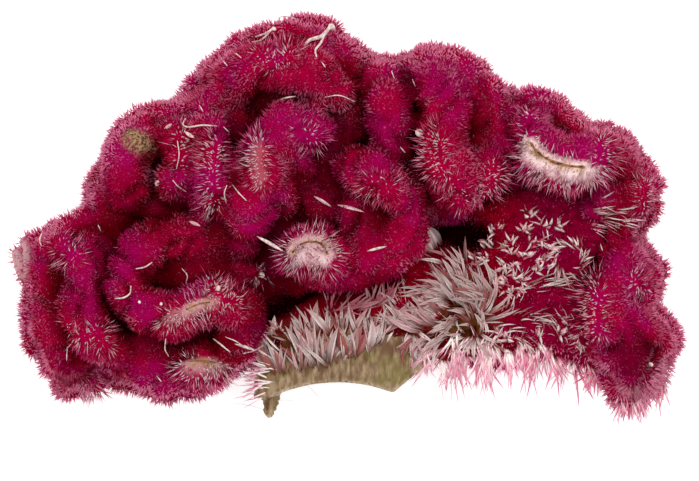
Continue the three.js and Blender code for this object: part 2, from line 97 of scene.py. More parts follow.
def stops(*rows: Sequence[float]) -> Stops:
    """The stops of a gradient, from rows of a place from 0 to 1 and a colour's display values."""
    return tuple((place, colour(*values)) for place, *values in rows)


def placed(points: Points | np.ndarray) -> np.ndarray:
    """Points of the plant's own frame, in millimetres, brought into the row's frame, in metres."""
    rows = np.array(points, float)
    rows[:, :2] += PLACE[:2]
    return rows * MM


def in_own_frame(places: np.ndarray) -> np.ndarray:
    """The X and Y of places in the plant's own frame, in millimetres."""
    return places[:, :2] / MM - np.array(PLACE[:2])


def smooth_line(points: Points | np.ndarray, spacing: float) -> np.ndarray:
    """Rounds off a line that runs through some points.

    Args:
        points: Rows of coordinates, with further columns such as a radius if wanted.
        spacing: The distance between the samples, in the points' unit.

    Returns:
        One row for each sample.
    """
    knots = np.array(points, float)
    padded = np.vstack([2 * knots[0] - knots[1], knots, 2 * knots[-1] - knots[-2]])
    t = np.linspace(0, 1, 16, endpoint=False)[:, None]
    spans = []
    for a, b, c, d in zip(padded, padded[1:], padded[2:], padded[3:]):
        cubic = (2 * a - 5 * b + 4 * c - d) * t**2 + (3 * b - a - 3 * c + d) * t**3
        spans.append(0.5 * (2 * b + (c - a) * t + cubic))
    dense = np.vstack([*spans, knots[-1:]])
    reach = np.concatenate([[0], np.cumsum(np.linalg.norm(np.diff(dense[:, :3], axis=0), axis=1))])
    at = np.linspace(0, reach[-1], max(2, round(reach[-1] / spacing)) + 1)
    return np.stack([np.interp(at, reach, column) for column in dense.T], axis=1)


def sweep(bm: BMesh, line: np.ndarray, sides: int = 12) -> None:
    """Extrudes a circle along a line and rounds off both ends.

    Args:
        bm: The bmesh that gets the tube.
        line: Rows of x, y, z and radius, in metres.
        sides: How many sides the circle has.
    """
    centres = [Vector(row[:3]) for row in line]
    ways = [(b - a).normalized() for a, b in zip(centres, centres[1:])]
    ways = [ways[0], *[(a + b).normalized() for a, b in zip(ways, ways[1:])], ways[-1]]
    rings = list(zip(centres, ways, line[:, 3]))
    for share, reach in ((0.75, 0.66), (0.3, 0.95)):
        first, last = (centres[0], ways[0], line[0, 3]), (centres[-1], ways[-1], line[-1, 3])
        rings.insert(0, (first[0] - first[1] * first[2] * reach, first[1], first[2] * share))
        rings.append((last[0] + last[1] * last[2] * reach, last[1], last[2] * share))
    turn = UP.rotation_difference(rings[0][1])
    places = []
    for (centre, way, radius), (_, before, _) in zip(rings, [rings[0], *rings]):
        turn = before.rotation_difference(way) @ turn
        places.append(Matrix.LocRotScale(centre, turn, Vector((radius, radius, radius))))
    ring = bmesh.ops.create_circle(bm, cap_ends=False, segments=sides, radius=1, matrix=places[0])["verts"]
    edges = list(dict.fromkeys(edge for vert in ring for edge in vert.link_edges))
    bmesh.ops.edgeloop_fill(bm, edges=edges)
    for before, after in zip(places, places[1:]):
        made = bmesh.ops.extrude_edge_only(bm, edges=edges)["geom"]
        verts = {item for item in made if isinstance(item, BMVert)}
        edges = [item for item in made if isinstance(item, BMEdge) and verts.issuperset(item.verts)]
        bmesh.ops.transform(bm, verts=list(verts), matrix=after @ before.inverted())
    bmesh.ops.edgeloop_fill(bm, edges=edges)


def slab(bm: BMesh, outline: Points, low: float, high: float) -> None:
    """Extrudes an outline seen from above.

    Args:
        bm: The bmesh that gets the slab.
        outline: The corners in the plant's own frame, in millimetres.
        low: The height of its underside, in millimetres.
        high: The height of its top, in millimetres.
    """
    corners = placed([(x, y, low) for x, y in outline])
    face = bm.faces.new([bm.verts.new(corner) for corner in corners])
    made = bmesh.ops.extrude_face_region(bm, geom=[face])["geom"]
    verts = [item for item in made if isinstance(item, BMVert)]
    bmesh.ops.translate(bm, verts=verts, vec=(0, 0, (high - low) * MM))


def object_of(bm: BMesh, name: str) -> Object:
    """Turns a bmesh into an object at the origin, with its faces pointing out."""
    bmesh.ops.recalc_face_normals(bm, faces=bm.faces)
    mesh = bpy.data.meshes.new(name)
    bm.to_mesh(mesh)
    bm.free()
    made = bpy.data.objects.new(name, mesh)
    bpy.context.scene.collection.objects.link(made)
    return made


def apply_modifiers(piece: Object) -> None:
    """Turns what an object's modifiers make into its own mesh."""
    graph = bpy.context.evaluated_depsgraph_get()
    graph.update()
    mesh = bpy.data.meshes.new_from_object(
        piece.evaluated_get(graph), preserve_all_data_layers=True, depsgraph=graph
    )
    piece.modifiers.clear()
    before, piece.data = piece.data, mesh
    bpy.data.meshes.remove(before)


def remesh(piece: Object, voxel: float, smoothing: int) -> None:
    """Fuses an object's overlapping shapes into one skin and smooths it.

    Args:
        piece: The object.
        voxel: The size of a cell, in millimetres.
        smoothing: How many times the skin is smoothed.
    """
    fuse = piece.modifiers.new("fuse", "REMESH")
    fuse.mode = "VOXEL"
    fuse.voxel_size = voxel * MM
    smooth = piece.modifiers.new("smooth", "SMOOTH")
    smooth.factor = 0.5
    smooth.iterations = smoothing
    apply_modifiers(piece)


def read_rows(items: bpy.types.bpy_prop_collection, name: str) -> np.ndarray:
    """The vectors that a mesh's items hold under a name, one row each."""
    values = np.empty(len(items) * 3, np.float32)
    items.foreach_get(name, values)
    return values.reshape(-1, 3).astype(float)


def coordinates(mesh: Mesh) -> np.ndarray:
    """The places of a mesh's vertices, one row each."""
    return read_rows(mesh.vertices, "co")


def set_coordinates(mesh: Mesh, places: np.ndarray) -> None:
    """Moves a mesh's vertices to new places, one row each."""
    mesh.vertices.foreach_set("co", places.astype(np.float32).ravel())
    mesh.update()


def normals(mesh: Mesh) -> np.ndarray:
    """The normals at a mesh's vertices, one row each."""
    return read_rows(mesh.vertex_normals, "vector")


def set_attributes(mesh: Mesh, **columns: np.ndarray) -> None:
    """Stores numbers for each vertex of a mesh, each column under its own name."""
    for name, values in columns.items():
        layer = mesh.attributes.get(name) or mesh.attributes.new(name, "FLOAT", "POINT")
        layer.data.foreach_set("value", np.asarray(values, np.float32))


def get_attribute(mesh: Mesh, name: str) -> np.ndarray:
    """The numbers that a mesh holds for its vertices under a name."""
    values = np.empty(len(mesh.vertices), np.float32)
    mesh.attributes[name].data.foreach_get("value", values)
    return values.astype(float)


def clamp(values: np.ndarray) -> np.ndarray:
    """Numbers kept from 0 to 1."""
    return np.clip(values, 0, 1)


def unit(rows: np.ndarray) -> np.ndarray:
    """Rows of vectors brought to a length of 1."""
    return rows / np.maximum(np.linalg.norm(rows, axis=1, keepdims=True), 1e-9)


def bases(ways: np.ndarray, spin: np.ndarray) -> tuple[np.ndarray, np.ndarray]:
    """Two directions across each of some directions.

    Args:
        ways: Unit vectors, one row each.
        spin: An angle about each of them, in radians.

    Returns:
        The two unit vectors across each, at right angles to each other.
    """
    helper = np.where(np.abs(ways[:, 2:]) < 0.9, [[0.0, 0.0, 1.0]], [[1.0, 0.0, 0.0]])
    first = unit(np.cross(ways, helper))
    second = np.cross(ways, first)
    cos, sin = np.cos(spin)[:, None], np.sin(spin)[:, None]
    return first * cos + second * sin, second * cos - first * sin


def shade_noise(places: np.ndarray, size: float, offset: float = 0.0) -> np.ndarray:
    """Smooth noise from about -1 to 1 at some places.

    Args:
        places: Rows of coordinates, in metres.
        size: The size of its cells, in millimetres.
        offset: Which part of the noise is read.

    Returns:
        One number for each row.
    """
    scaled = (places / (size * MM) + offset).tolist()
    return np.array([noise.noise(row) for row in scaled])


def dress(piece: Object, finish: Material) -> Object:
    """Gives a piece its finish and smooth shading, and returns it."""
    piece.data.shade_smooth()
    piece.data.materials.append(finish)
    return piece


def corners_of_faces(mesh: Mesh) -> np.ndarray:
    """The three vertices of each of a mesh's triangles, one row each."""
    mesh.calc_loop_triangles()
    corners = np.empty(len(mesh.loop_triangles) * 3, np.int32)
    mesh.loop_triangles.foreach_get("vertices", corners)
    return corners.reshape(-1, 3)


def tree_of(mesh: Mesh) -> BVHTree:
    """A search tree over a mesh's faces."""
    return BVHTree.FromPolygons(coordinates(mesh).tolist(), corners_of_faces(mesh).tolist())


def scatter(
    template: Object, name: str, roots: np.ndarray, ways: np.ndarray, faces: np.ndarray,
    sizes: np.ndarray, bends: np.ndarray, marks: dict[str, np.ndarray],
) -> Object:
    """Repeats a small shape, which runs from 0 to 1 along its own Y and faces its own Z.

    Args:
        template: The shape, which becomes the finished piece.
        name: The piece's name.
        roots: Where each copy starts, in metres.
        ways: The unit direction in which each copy runs.
        faces: The unit direction that each copy faces, across its way.
        sizes: The width, length and height of each copy, in metres.
        bends: How far each copy's tip is carried off, in metres, growing with the square of the distance.
        marks: Further numbers for each copy, stored for its vertices under their names.

    Returns:
        The template, which now holds all the copies.
    """
    count = len(roots)
    copies = template.modifiers.new("copies", "ARRAY")
    copies.count = count
    copies.use_relative_offset = False
    apply_modifiers(template)
    mesh = template.data
    local = coordinates(mesh).reshape(count, -1, 3)
    shares = local[:, :, 1:2]
    local = local * sizes[:, None, :]
    sides = np.cross(ways, faces)
    places = roots[:, None] + local[..., :1] * sides[:, None] + local[..., 1:2] * ways[:, None]
    places += local[..., 2:] * faces[:, None] + bends[:, None] * shares**2
    set_coordinates(mesh, places.reshape(-1, 3))
    set_attributes(mesh, **{key: np.repeat(values, local.shape[1]) for key, values in marks.items()})
    template.name = mesh.name = name
    return template


# ---- Finishes ----


class Tree:
    """A material's node tree, which ends in one Principled shader.

    Its methods take a value as a socket, as the name of a number stored for the vertices, or as it is.
    """

    def __init__(self, name: str, roughness: float, specular: float = 0.3) -> None:
        """Makes a material with a plain shader.

        Args:
            name: The material's name.
            roughness: The shader's roughness.
            specular: The shader's specular level.
        """
        self.material = bpy.data.materials.new(name)
        self.material.use_nodes = True
        self.nodes = self.material.node_tree.nodes
        self.links = self.material.node_tree.links
        self.shader = self.nodes["Principled BSDF"]
        self.shader.inputs["Roughness"].default_value = roughness
        self.shader.inputs["Specular IOR Level"].default_value = specular

    def put(self, value: object, socket: NodeSocket) -> None:
        """Links a value to a socket, or sets the socket to it."""
        if isinstance(value, str):
            node = self.nodes.new("ShaderNodeAttribute")
            node.attribute_name = value
            value = node.outputs["Fac"]
        if isinstance(value, NodeSocket):
            self.links.new(value, socket)
        else:
            socket.default_value = value

    def mix(self, share: object, first: object, second: object) -> NodeSocket:
        """Mixes two colours by a share, which goes from the first to the second."""
        node = self.nodes.new("ShaderNodeMix")
        node.data_type = "RGBA"
        for value, socket in ((share, 0), (first, 6), (second, 7)):
            self.put(value, node.inputs[socket])
        return node.outputs[2]

    def math(self, operation: str, *values: object) -> NodeSocket:
        """Works out a number from others."""
        node = self.nodes.new("ShaderNodeMath")
        node.operation = operation
        for value, socket in zip(values, node.inputs):
            self.put(value, socket)
        return node.outputs[0]

    def times(self, first: object, second: object) -> NodeSocket:
        """Multiplies two numbers."""
        return self.math("MULTIPLY", first, second)

    def noise(self, size: float, detail: float = 2.0, stretch: Sequence[float] = (1, 1, 1)) -> NodeSocket:
        """Noise over the object.

        Args:
            size: The size of its cells, in millimetres.
            detail: How many finer layers it has.
            stretch: How much more often it changes along each axis.

        Returns:
            A number that stays near 0.5.
        """
        place = self.nodes.new("ShaderNodeTexCoord")
        mapping = self.nodes.new("ShaderNodeMapping")
        mapping.inputs["Scale"].default_value = [1 / (size * MM) * s for s in stretch]
        node = self.nodes.new("ShaderNodeTexNoise")
        node.inputs["Scale"].default_value = 1
        node.inputs["Detail"].default_value = detail
        self.links.new(place.outputs["Object"], mapping.inputs["Vector"])
        self.links.new(mapping.outputs["Vector"], node.inputs["Vector"])
        return node.outputs["Fac"]

    def ramp(self, value: object, low: float, high: float) -> NodeSocket:
        """Spreads the numbers from low to high over 0 to 1, smoothly."""
        node = self.nodes.new("ShaderNodeMapRange")
        node.interpolation_type = "SMOOTHSTEP"
        self.put(value, node.inputs["Value"])
        node.inputs["From Min"].default_value = low
        node.inputs["From Max"].default_value = high
        return node.outputs["Result"]

    def mottle(
        self, size: float, detail: float, low: float, high: float, stretch: Sequence[float] = (1, 1, 1)
    ) -> NodeSocket:
        """Noise of a size and detail, of which the part from low to high is spread over 0 to 1."""
        return self.ramp(self.noise(size, detail, stretch), low, high)

    def gradient(self, value: object, stops: Stops) -> NodeSocket:
        """Turns a number into a colour that runs through some stops."""
        node = self.nodes.new("ShaderNodeValToRGB")
        ramp = node.color_ramp
        while len(ramp.elements) < len(stops):
            ramp.elements.new(0.5)
        for element, (place, shade) in zip(ramp.elements, stops):
            element.position, element.color = place, shade
        self.put(value, node.inputs["Fac"])
        return node.outputs["Color"]

    def bump(self, height: NodeSocket, strength: float, depth: float) -> None:
        """Roughens the shader's normal by a height, of a depth in millimetres."""
        node = self.nodes.new("ShaderNodeBump")
        node.inputs["Strength"].default_value = strength
        node.inputs["Distance"].default_value = depth * MM
        self.links.new(height, node.inputs["Height"])
        self.links.new(node.outputs["Normal"], self.shader.inputs["Normal"])

    def glow(self, shade: object, strength: float) -> None:
        """Lets the shader give off a little light of a colour."""
        self.put(shade, self.shader.inputs["Emission Color"])
        self.shader.inputs["Emission Strength"].default_value = strength

    def finish(self, base: object) -> Material:
        """Gives the shader its colour and returns the material."""
        self.put(base, self.shader.inputs["Base Color"])
        return self.material


@dataclass(frozen=True)
class Velvet:
    """The crimson of the crest, darkened to near black in its hollows as painted shade, with the pink tips of
    its rim as painted highlights and backlight.
    """

    # Both run over "open": from painted shade deep in a hollow at 0 to the crest's crimson or magenta out in
    # the open at 1.
    reds: Stops = stops(
        (0, 66, 0, 5), (0.3, 98, 0, 10), (0.6, 138, 0, 32), (0.85, 172, 0, 56), (1, 182, 0, 64)
    )
    magentas: Stops = stops(
        (0, 66, 0, 8), (0.3, 96, 0, 22), (0.6, 140, 0, 54), (0.85, 172, 2, 84), (1, 180, 4, 94)
    )
    shadow: Colour = colour(60, 0, 3)
    pink: Colour = colour(255, 150, 188)
    pale: Colour = colour(252, 228, 230)
    tip: Colour = colour(70, 0, 26)
    pore: Colour = colour(88, 52, 34)
    beige: Colour = colour(176, 138, 108)
    pad: Colour = colour(250, 214, 212)
    lip: Colour = colour(196, 158, 104)

    def body(self, tree: Tree) -> NodeSocket:
        """The colour of the tissue and of the bristles' lower parts, darker towards the hollows as painted
        shade.
        """
        patches = tree.mottle(6, 3, 0.42, 0.62)
        return tree.mix(patches, tree.gradient("open", self.reds), tree.gradient("open", self.magentas))

    def tissue(self) -> Material:
        """The finish of the folds under the pile."""
        tree = Tree("crest tissue", 0.8, 0)
        shade = tree.mix(0.3, self.body(tree), self.shadow)
        # Painted highlights: fine pink specks, more where the tissue lies open, for glinting bristle tips.
        speck_glints = tree.times(tree.mottle(0.3, 1, 0.64, 0.74), "open")
        shade = tree.mix(tree.times(speck_glints, 0.2), shade, self.pink)
        shade = tree.mix("bare", shade, tree.mix(tree.mottle(0.3, 2, 0.36, 0.62), self.pore, self.beige))
        shade = tree.mix("pad", shade, tree.mix(tree.mottle(0.4, 2, 0.35, 0.65), self.pad, self.pale))
        shade = tree.mix(tree.times("lip", 0.7), shade, self.lip)
        tree.bump(tree.noise(0.35, 3), 0.6, 0.15)
        return tree.finish(shade)

    def pile(self) -> Material:
        """The finish of the bristles: pink towards the tips of those at the rim and of those that glint, as
        painted highlights and backlight, and pale at the partings.
        """
        tree = Tree("crest pile", 0.8, 0)
        shade = tree.mix(tree.times(tree.ramp("along", 0.1, 0.75), "rim"), self.body(tree), self.pink)
        shade = tree.mix(tree.times(tree.ramp("along", 0.55, 0.85), "dark"), shade, self.tip)
        return tree.finish(tree.mix("lip", tree.mix("pale", shade, self.pale), self.lip))


@dataclass(frozen=True)
class Paper:
    """The papery, silver-pink tepals, and the tissue that they grow from."""

    silver: Colour = colour(255, 250, 244)
    dust: Colour = colour(156, 84, 70)
    rose: Colour = colour(208, 104, 126)
    vein: Colour = colour(146, 74, 68)
    root: Colour = colour(108, 56, 28)
    wine: Colour = colour(110, 0, 34)
    tassel: Stops = stops((0, 255, 246, 240), (0.45, 255, 246, 240), (0.75, 252, 178, 204), (1, 206, 40, 104))
    tassel_flush: Colour = colour(226, 72, 134)
    tassel_foot: Colour = colour(132, 0, 40)
    near_red: Colour = colour(134, 0, 22)
    far_red: Colour = colour(136, 0, 48)
    dark_brown: Colour = colour(48, 12, 8)
    light_brown: Colour = colour(106, 62, 32)
    shadow: Colour = colour(56, 2, 4)
    # The painted shade in the flank's hollows under the crest.
    depth: Colour = colour(22, 0, 1)

    def tepals(self) -> Material:
        """The finish of the florets: silvery margins, a duller middle and a brownish root, which is partly the
        tepals' own colour and partly painted shade where they crowd together.
        """
        tree = Tree("papery tepals", 0.45, 0.25)
        silver = tree.mix(tree.ramp("dim", 0.5, 1), self.silver, self.dust)
        shade = tree.mix(tree.times(tree.ramp("across", 0.8, 0.1), 0.5), silver, self.dust)
        shade = tree.mix("blush", shade, self.rose)
        shade = tree.mix(tree.times(tree.mottle(0.2, 3, 0.38, 0.62), 0.25), shade, self.rose)
        veins = tree.ramp(tree.math("SINE", tree.times("across", 19.0)), 0.2, 0.95)
        shade = tree.mix(tree.times(veins, 0.35), shade, self.vein)
        # The darker foot: partly the tepal's own brown and wine, partly painted shade among the crowded tepals.
        foot = tree.mix("wine", self.root, self.wine)
        shade = tree.mix(tree.times(tree.ramp("along", 0.55, 0.08), 0.9), shade, foot)
        tree.bump(tree.noise(0.2, 2, (1, 0.3, 1)), 0.4, 0.08)
        return tree.finish(shade)

    def fringe(self) -> Material:
        """The finish of the fringe: nearly white at its roots and pink towards its tips, with a faint glow as
        painted light shining through it.
        """
        tree = Tree("pink fringe", 0.5, 0.15)
        shade = tree.mix("blush", tree.gradient("along", self.tassel), self.tassel_flush)
        shade = tree.mix(tree.times(tree.ramp("along", 0.5, 0.1), "wine"), shade, self.tassel_foot)
        # Painted light: a faint glow in the fringe's own colour, for light shining through the thin tepals.
        tree.glow(shade, 0.14)
        return tree.finish(shade)

    def flank(self) -> Material:
        """The finish of the tissue below the florets: wine red; brown near the stalk and the hub, partly its
        own colour and partly painted shade between the florets; and near black as painted shade where the crest
        hangs over it.
        """
        tree = Tree("flank tissue", 0.8, 0)
        red = tree.mix("far", self.near_red, self.far_red)
        brown = tree.mix(tree.mottle(1.6, 2, 0.4, 0.6), self.dark_brown, self.light_brown)
        # Brown near the stalk and the hub: partly the tissue's own colour, partly painted shade in the gaps
        # between the florets.
        shade = tree.mix("brown", red, brown)
        shade = tree.mix(tree.mottle(0.9, 3, 0.35, 0.65), tree.mix(0.5, shade, self.shadow), shade)
        # Painted shade: near black where the crest hides the flank, by its openness.
        shade = tree.mix(tree.ramp("open", 0.1, 0.62), self.depth, shade)
        tree.bump(tree.noise(0.4, 3), 0.7, 0.2)
        return tree.finish(shade)


@dataclass(frozen=True)
class Stem:
    """The stalk: beige with a green cast, fibrous along its length."""

    straw: Colour = colour(172, 146, 112)
    shade: Colour = colour(122, 94, 62)
    olive: Colour = colour(124, 112, 48)
    brown: Colour = colour(100, 60, 26)
    cut: Colour = colour(222, 200, 174)

    def stalk(self) -> Material:
        """The finish of the stalk's skin and of its cut edge."""
        tree = Tree("stalk", 0.6, 0.4)
        shade = tree.mix(tree.mottle(0.7, 4, 0.36, 0.64, (1.6, 0.5, 1)), self.shade, self.straw)
        shade = tree.mix(tree.times(tree.mottle(2.6, 2, 0.5, 0.66), 0.7), shade, self.olive)
        shade = tree.mix(tree.times(tree.mottle(1.3, 2, 0.58, 0.7), 0.5), shade, self.brown)
        flesh = tree.mix(tree.mottle(0.9, 3, 0.35, 0.65), self.straw, self.cut)
        flesh = tree.mix(tree.mottle(0.42, 1, 0.56, 0.64), flesh, self.brown)
        flesh = tree.mix(tree.ramp("rind", 0.3, 0.9), flesh, self.olive)
        shade = tree.mix("streak", tree.mix("cut", shade, flesh), self.brown)
        tree.bump(tree.noise(0.4, 3, (1.8, 0.15, 1)), 0.8, 0.2)
        return tree.finish(shade)


@dataclass(frozen=True)
class Chaff:
    """What has strayed onto the head, and the dry creases in it."""

    cream: Colour = colour(240, 226, 216)
    dusk: Colour = colour(206, 160, 160)
    rose: Colour = colour(204, 130, 142)
    dark_brown: Colour = colour(80, 34, 14)
    tan: Colour = colour(178, 112, 62)

    def strays(self) -> Material:
        """The finish of the threads, scales and seeds."""
        tree = Tree("stray chaff", 0.4, 0.5)
        shade = tree.mix(tree.mottle(0.4, 2, 0.4, 0.65), self.cream, self.dusk)
        return tree.finish(tree.mix("blush", shade, self.rose))

    def creases(self) -> Material:
        """The finish of the dry creases."""
        tree = Tree("dry creases", 0.7)
        return tree.finish(tree.mix(tree.mottle(0.5, 2, 0.35, 0.65), self.dark_brown, self.tan))


# ---- The crest's tissue ----


@dataclass
class Folds:
    """The ridge lines of the crest's folds, as rows of x, y, z and radius in millimetres."""

    face: dict[str, Points] = field(default_factory=lambda: {
        "crown": [[-14, 14.5, 19, 2.8], [-11.5, 16.4, 22, 2.8], [-8, 17, 24, 2.8], [-4, 16.6, 24, 3],
            [-1.8, 14.8, 22, 3]],
        "crown_shoulder": [[-17.6, 12.8, 16, 2.8], [-14.2, 16, 17.4, 2.8], [-10.2, 18.4, 18, 2.9]],
        "crown_arch": [[-9, 19.4, 17.6, 2.8], [-5.4, 19.6, 18.6, 2.8], [-1.8, 18.2, 17.6, 2.8],
            [0.4, 16, 17, 2.6]],
        "left_brow": [[-21.5, 10.6, 16, 3], [-25.2, 8.4, 20.5, 3.4], [-25.6, 5, 20.5, 3.4],
            [-25.8, 1.6, 17.5, 3.2]],
        "left_knob": [[-27.6, 6, 13, 2.3], [-28, 3.6, 13.6, 2.4], [-27.6, 1.2, 14, 2.5]],
        "rib_a": [[-20.8, 11.2, 17, 2.3], [-19.6, 8, 21.6, 2.4], [-19.3, 5, 22.4, 2.4],
            [-19.8, 2.6, 19.4, 2.4]],
        "rib_b": [[-17.4, 12.6, 18, 2.4], [-15.8, 10, 22, 2.5], [-15, 6, 24.4, 2.7], [-15.2, 3, 24.4, 2.7],
            [-15.8, 0.4, 21, 2.5]],
        "hook": [[-3.9, 9.8, 23.8, 2.8], [-6.8, 10.8, 24, 2.8], [-9.2, 8.6, 24.2, 2.8],
            [-9.8, 5.6, 24.8, 3], [-10, 2.8, 24.4, 3], [-11.6, 0.2, 23.8, 2.9], [-11.9, -2.4, 22, 2.6]],
        "hook_side": [[-9, 3.6, 23, 3], [-7.4, 2, 22.4, 2.8]],
        "hook_palm": [[-6.6, 7.6, 22.6, 2.8], [-5.4, 5.4, 20.4, 2.6]],
        "centre_rim": [[0.8, 5.6, 22.2, 2.7], [3.6, 4.4, 24.2, 2.9], [6, 2.4, 23.6, 2.9],
            [6.4, -0.8, 22.8, 2.9], [5.2, -3.8, 22, 2.8], [2.6, -5.6, 21.6, 2.8], [-0.2, -6.4, 21.4, 2.6]],
        "centre_lobe": [[-6, -4.8, 22.8, 3], [-4.1, -3.8, 24.6, 3.3], [-2, -4.8, 23.4, 3]],
        "centre_chin": [[-4.6, -6, 21.8, 2.6], [-1.4, -6.4, 21.4, 2.6]],
        "centre_floor": [[1.4, 1.2, 20, 3.2], [1.6, -2.8, 20.4, 3.2]],
        "brow": [[2.2, 15.4, 17, 3], [4.6, 14, 21, 3], [4.8, 10.8, 22.4, 3], [5, 8, 21.4, 2.8]],
        "plume": [[8.6, 16.2, 16, 3], [11, 14, 21, 3], [11.2, 10, 23.4, 3], [11.2, 6.6, 24.6, 3.2],
            [12.6, 3.6, 24, 3.4]],
        "plume_side": [[15.4, 5.6, 22.4, 2.9], [13.4, 3.6, 22.8, 3.2]],
        "outer_plume": [[11, 16.6, 15, 2.7], [14.2, 14.8, 17, 2.6], [16.4, 12, 18.4, 2.6], [17, 9, 20, 2.6],
            [16.6, 6.4, 21, 2.7]],
        "mouth": [[20.9, 9.8, 22, 2.8], [21.9, 7.4, 24.4, 3.1], [24.6, 6, 25, 3.2], [27.4, 6.2, 24.6, 3.1],
            [29.8, 7.8, 21.6, 3]],
        "mouth_brow": [[20.4, 11.6, 16, 2.9], [23.4, 11.4, 18, 2.9], [26.6, 9.4, 18.6, 3]],
        "valley_left": [[-22.8, 3.6, 17.2, 2.6], [-21.4, 0, 18, 2.6]],
        "valley_ribs": [[-13, 13, 17, 2.5], [-12.6, 8.6, 18.4, 2.5], [-13.2, 4, 19, 2.5]],
        "valley_centre": [[0.4, 13, 17.4, 2.8], [-0.6, 9, 17.8, 2.8], [-2.8, 4.8, 18, 2.8],
            [-3.4, 1, 18.6, 2.8]],
        "valley_brow": [[8.2, 13.6, 17, 2.5], [8.2, 8.4, 18.4, 2.5], [9, 2.8, 18.4, 2.5]],
        "valley_plume": [[14.4, 11.6, 17.4, 2.4], [14.2, 8, 19, 2.4]],
        "valley_right": [[29.6, 4.4, 17, 2.6], [28.6, 1.8, 18.4, 2.4]],
        "valley_jaw": [[-15, -13.4, 19, 2.4], [-19.4, -14.4, 18, 2.4], [-23.4, -13.2, 18.4, 2.4]],
        "valley_cheek": [[-27.8, -2.6, 16.4, 2.5], [-28, -8.6, 17.4, 2.5]],
        "right_edge": [[31.4, 6.6, 15, 2.7], [32.4, 3.4, 17, 2.9], [31.6, 0.4, 17, 2.8]],
        "right_cheek": [[29.6, -8.6, 21, 2.8], [31.4, -6.2, 19.6, 2.9], [31.4, -3.6, 17, 2.8]],
        "right_curl": [[33, -5.6, 16, 2.6], [33.2, -8.4, 16, 2.7]],
        "right_foot": [[29.6, -12, 21, 2.7], [32.4, -12.6, 20, 2.9], [34.6, -14.2, 16, 2.9]],
        "right_toe": [[29.6, -15, 17, 2.8], [32.4, -16, 18, 3], [34, -17, 14.6, 2.8]],
        "ring": [[-16.6, -2.6, 20.4, 2.8], [-20.4, -2.6, 22, 2.9], [-23.8, -3.8, 22.2, 2.9],
            [-24.9, -6.8, 22, 2.9], [-24.4, -9.6, 22.4, 2.9], [-21.8, -11.2, 24, 2.9],
            [-18.4, -10.8, 25, 3], [-15, -9.8, 25, 3.1], [-12.4, -11.2, 23, 3]],
        "ring_floor": [[-20.8, -6.6, 18.6, 2.9], [-17.4, -6.2, 18.6, 2.9], [-12.4, -6.6, 19.2, 2.9]],
        "jaw": [[-24.8, -16, 17, 2.7], [-20.6, -17.4, 19.6, 2.8], [-16.6, -17, 22.4, 2.9],
            [-13.4, -15.4, 21.4, 2.8], [-11.4, -13.6, 20, 2.6]],
        "left_fold": [[-30.2, -4.6, 20, 2.5], [-30.8, -8, 21, 2.6], [-30.9, -11.4, 22.2, 2.6],
            [-29, -13.6, 22.2, 2.6], [-27, -15.2, 19.6, 2.6]],
        "left_cheek": [[-29.6, -1.6, 16.6, 2.6], [-32.6, -2.8, 18, 2.6], [-34.2, -5.2, 17.6, 2.5]],
        "left_shin": [[-34, -8, 16.6, 2.6], [-34, -11.4, 17.4, 2.6], [-33, -14.6, 17.6, 2.7],
            [-31.2, -16.8, 16, 2.7]],
    })
    edge_lobes: Sequence[Points] = (
        [[-9.6, -13.4], [-14, -16.2], [-20, -17.8], [-25, -16.2]],
        [[-29.8, -18.2], [-32.8, -15.8], [-34.8, -12.6], [-35.2, -9.4]],
        [[-35, -7.4], [-35.8, -4.4], [-33, -2.2], [-29.4, -1.6]],
        [[-28, -0.6], [-27.8, 3.6], [-25.4, 8.2], [-20.8, 10.8]],
        [[-18, 12.8], [-15.6, 15.2], [-10.8, 18.9], [-5.4, 20.3], [-0.9, 18.2]],
        [[1.6, 15.4], [5.4, 16], [10, 16.7], [14.2, 15], [17, 11.4]],
        [[19.8, 11.4], [22.6, 12], [25.6, 10.2]], [[28.2, 8.6], [31.4, 7.2], [33.6, 3.6], [32.6, -0.2]],
        [[32.2, -3.4], [33.8, -5.8], [33.4, -8.8]],
        [[33.6, -11.6], [35.4, -14], [34.6, -17], [31.6, -18.4]],
    )
    edge_height: float = 11.8
    edge_sway: float = 1.7
    edge_wave: float = 1.9
    edge_offset: float = 2.6
    edge_radius: float = 3.1
    fan_centre: tuple[float, float] = (0, -18)
    pleat_count: int = 13
    pleat_angles: tuple[float, float] = (13, 173)
    pleat_reaches: tuple[float, float] = (17, 31)
    pleat_twist: float = 8
    pleat_radius: float = 3.7
    pleat_lowest: float = 23
    pleat_pressed: float = 0.7
    pleat_rise: float = 0.035
    hub_angles: tuple[float, float] = (24, 164)
    hub: tuple[float, float, float] = (12.6, 4.6, 3.2)

    def edges(self) -> list[Points]:
        """The folds along the edge, which swing up and down as they go."""
        lines = []
        for n, lobe in enumerate(self.edge_lobes):
            turns = self.edge_wave * (np.arange(len(lobe)) + self.edge_offset * n)
            heights = self.edge_height + self.edge_sway * np.sin(turns)
            lines.append([[x, y, height, self.edge_radius] for (x, y), height in zip(lobe, heights)])
        return lines

    def fan_point(self, reach: float, angle: float) -> tuple[float, float]:
        """The place at a reach and an angle, in degrees, from the point that the head fans out from."""
        turn = math.radians(angle)
        return self.fan_centre[0] + reach * math.cos(turn), self.fan_centre[1] + reach * math.sin(turn)

    def pleats(self) -> list[Points]:
        """The pleats of the back, which fan out and twist a little."""
        lines = []
        for start in np.linspace(*self.pleat_angles, self.pleat_count):
            line = []
            for share in (0, 0.5, 1):
                reach = float(np.interp(share, (0, 1), self.pleat_reaches))
                rise = self.pleat_rise * (reach - self.pleat_lowest) ** 2
                height = self.pleat_radius - self.pleat_pressed + rise
                place = self.fan_point(reach, start + self.pleat_twist * share**2)
                line.append([*place, height, self.pleat_radius])
            lines.append(line)
        return lines

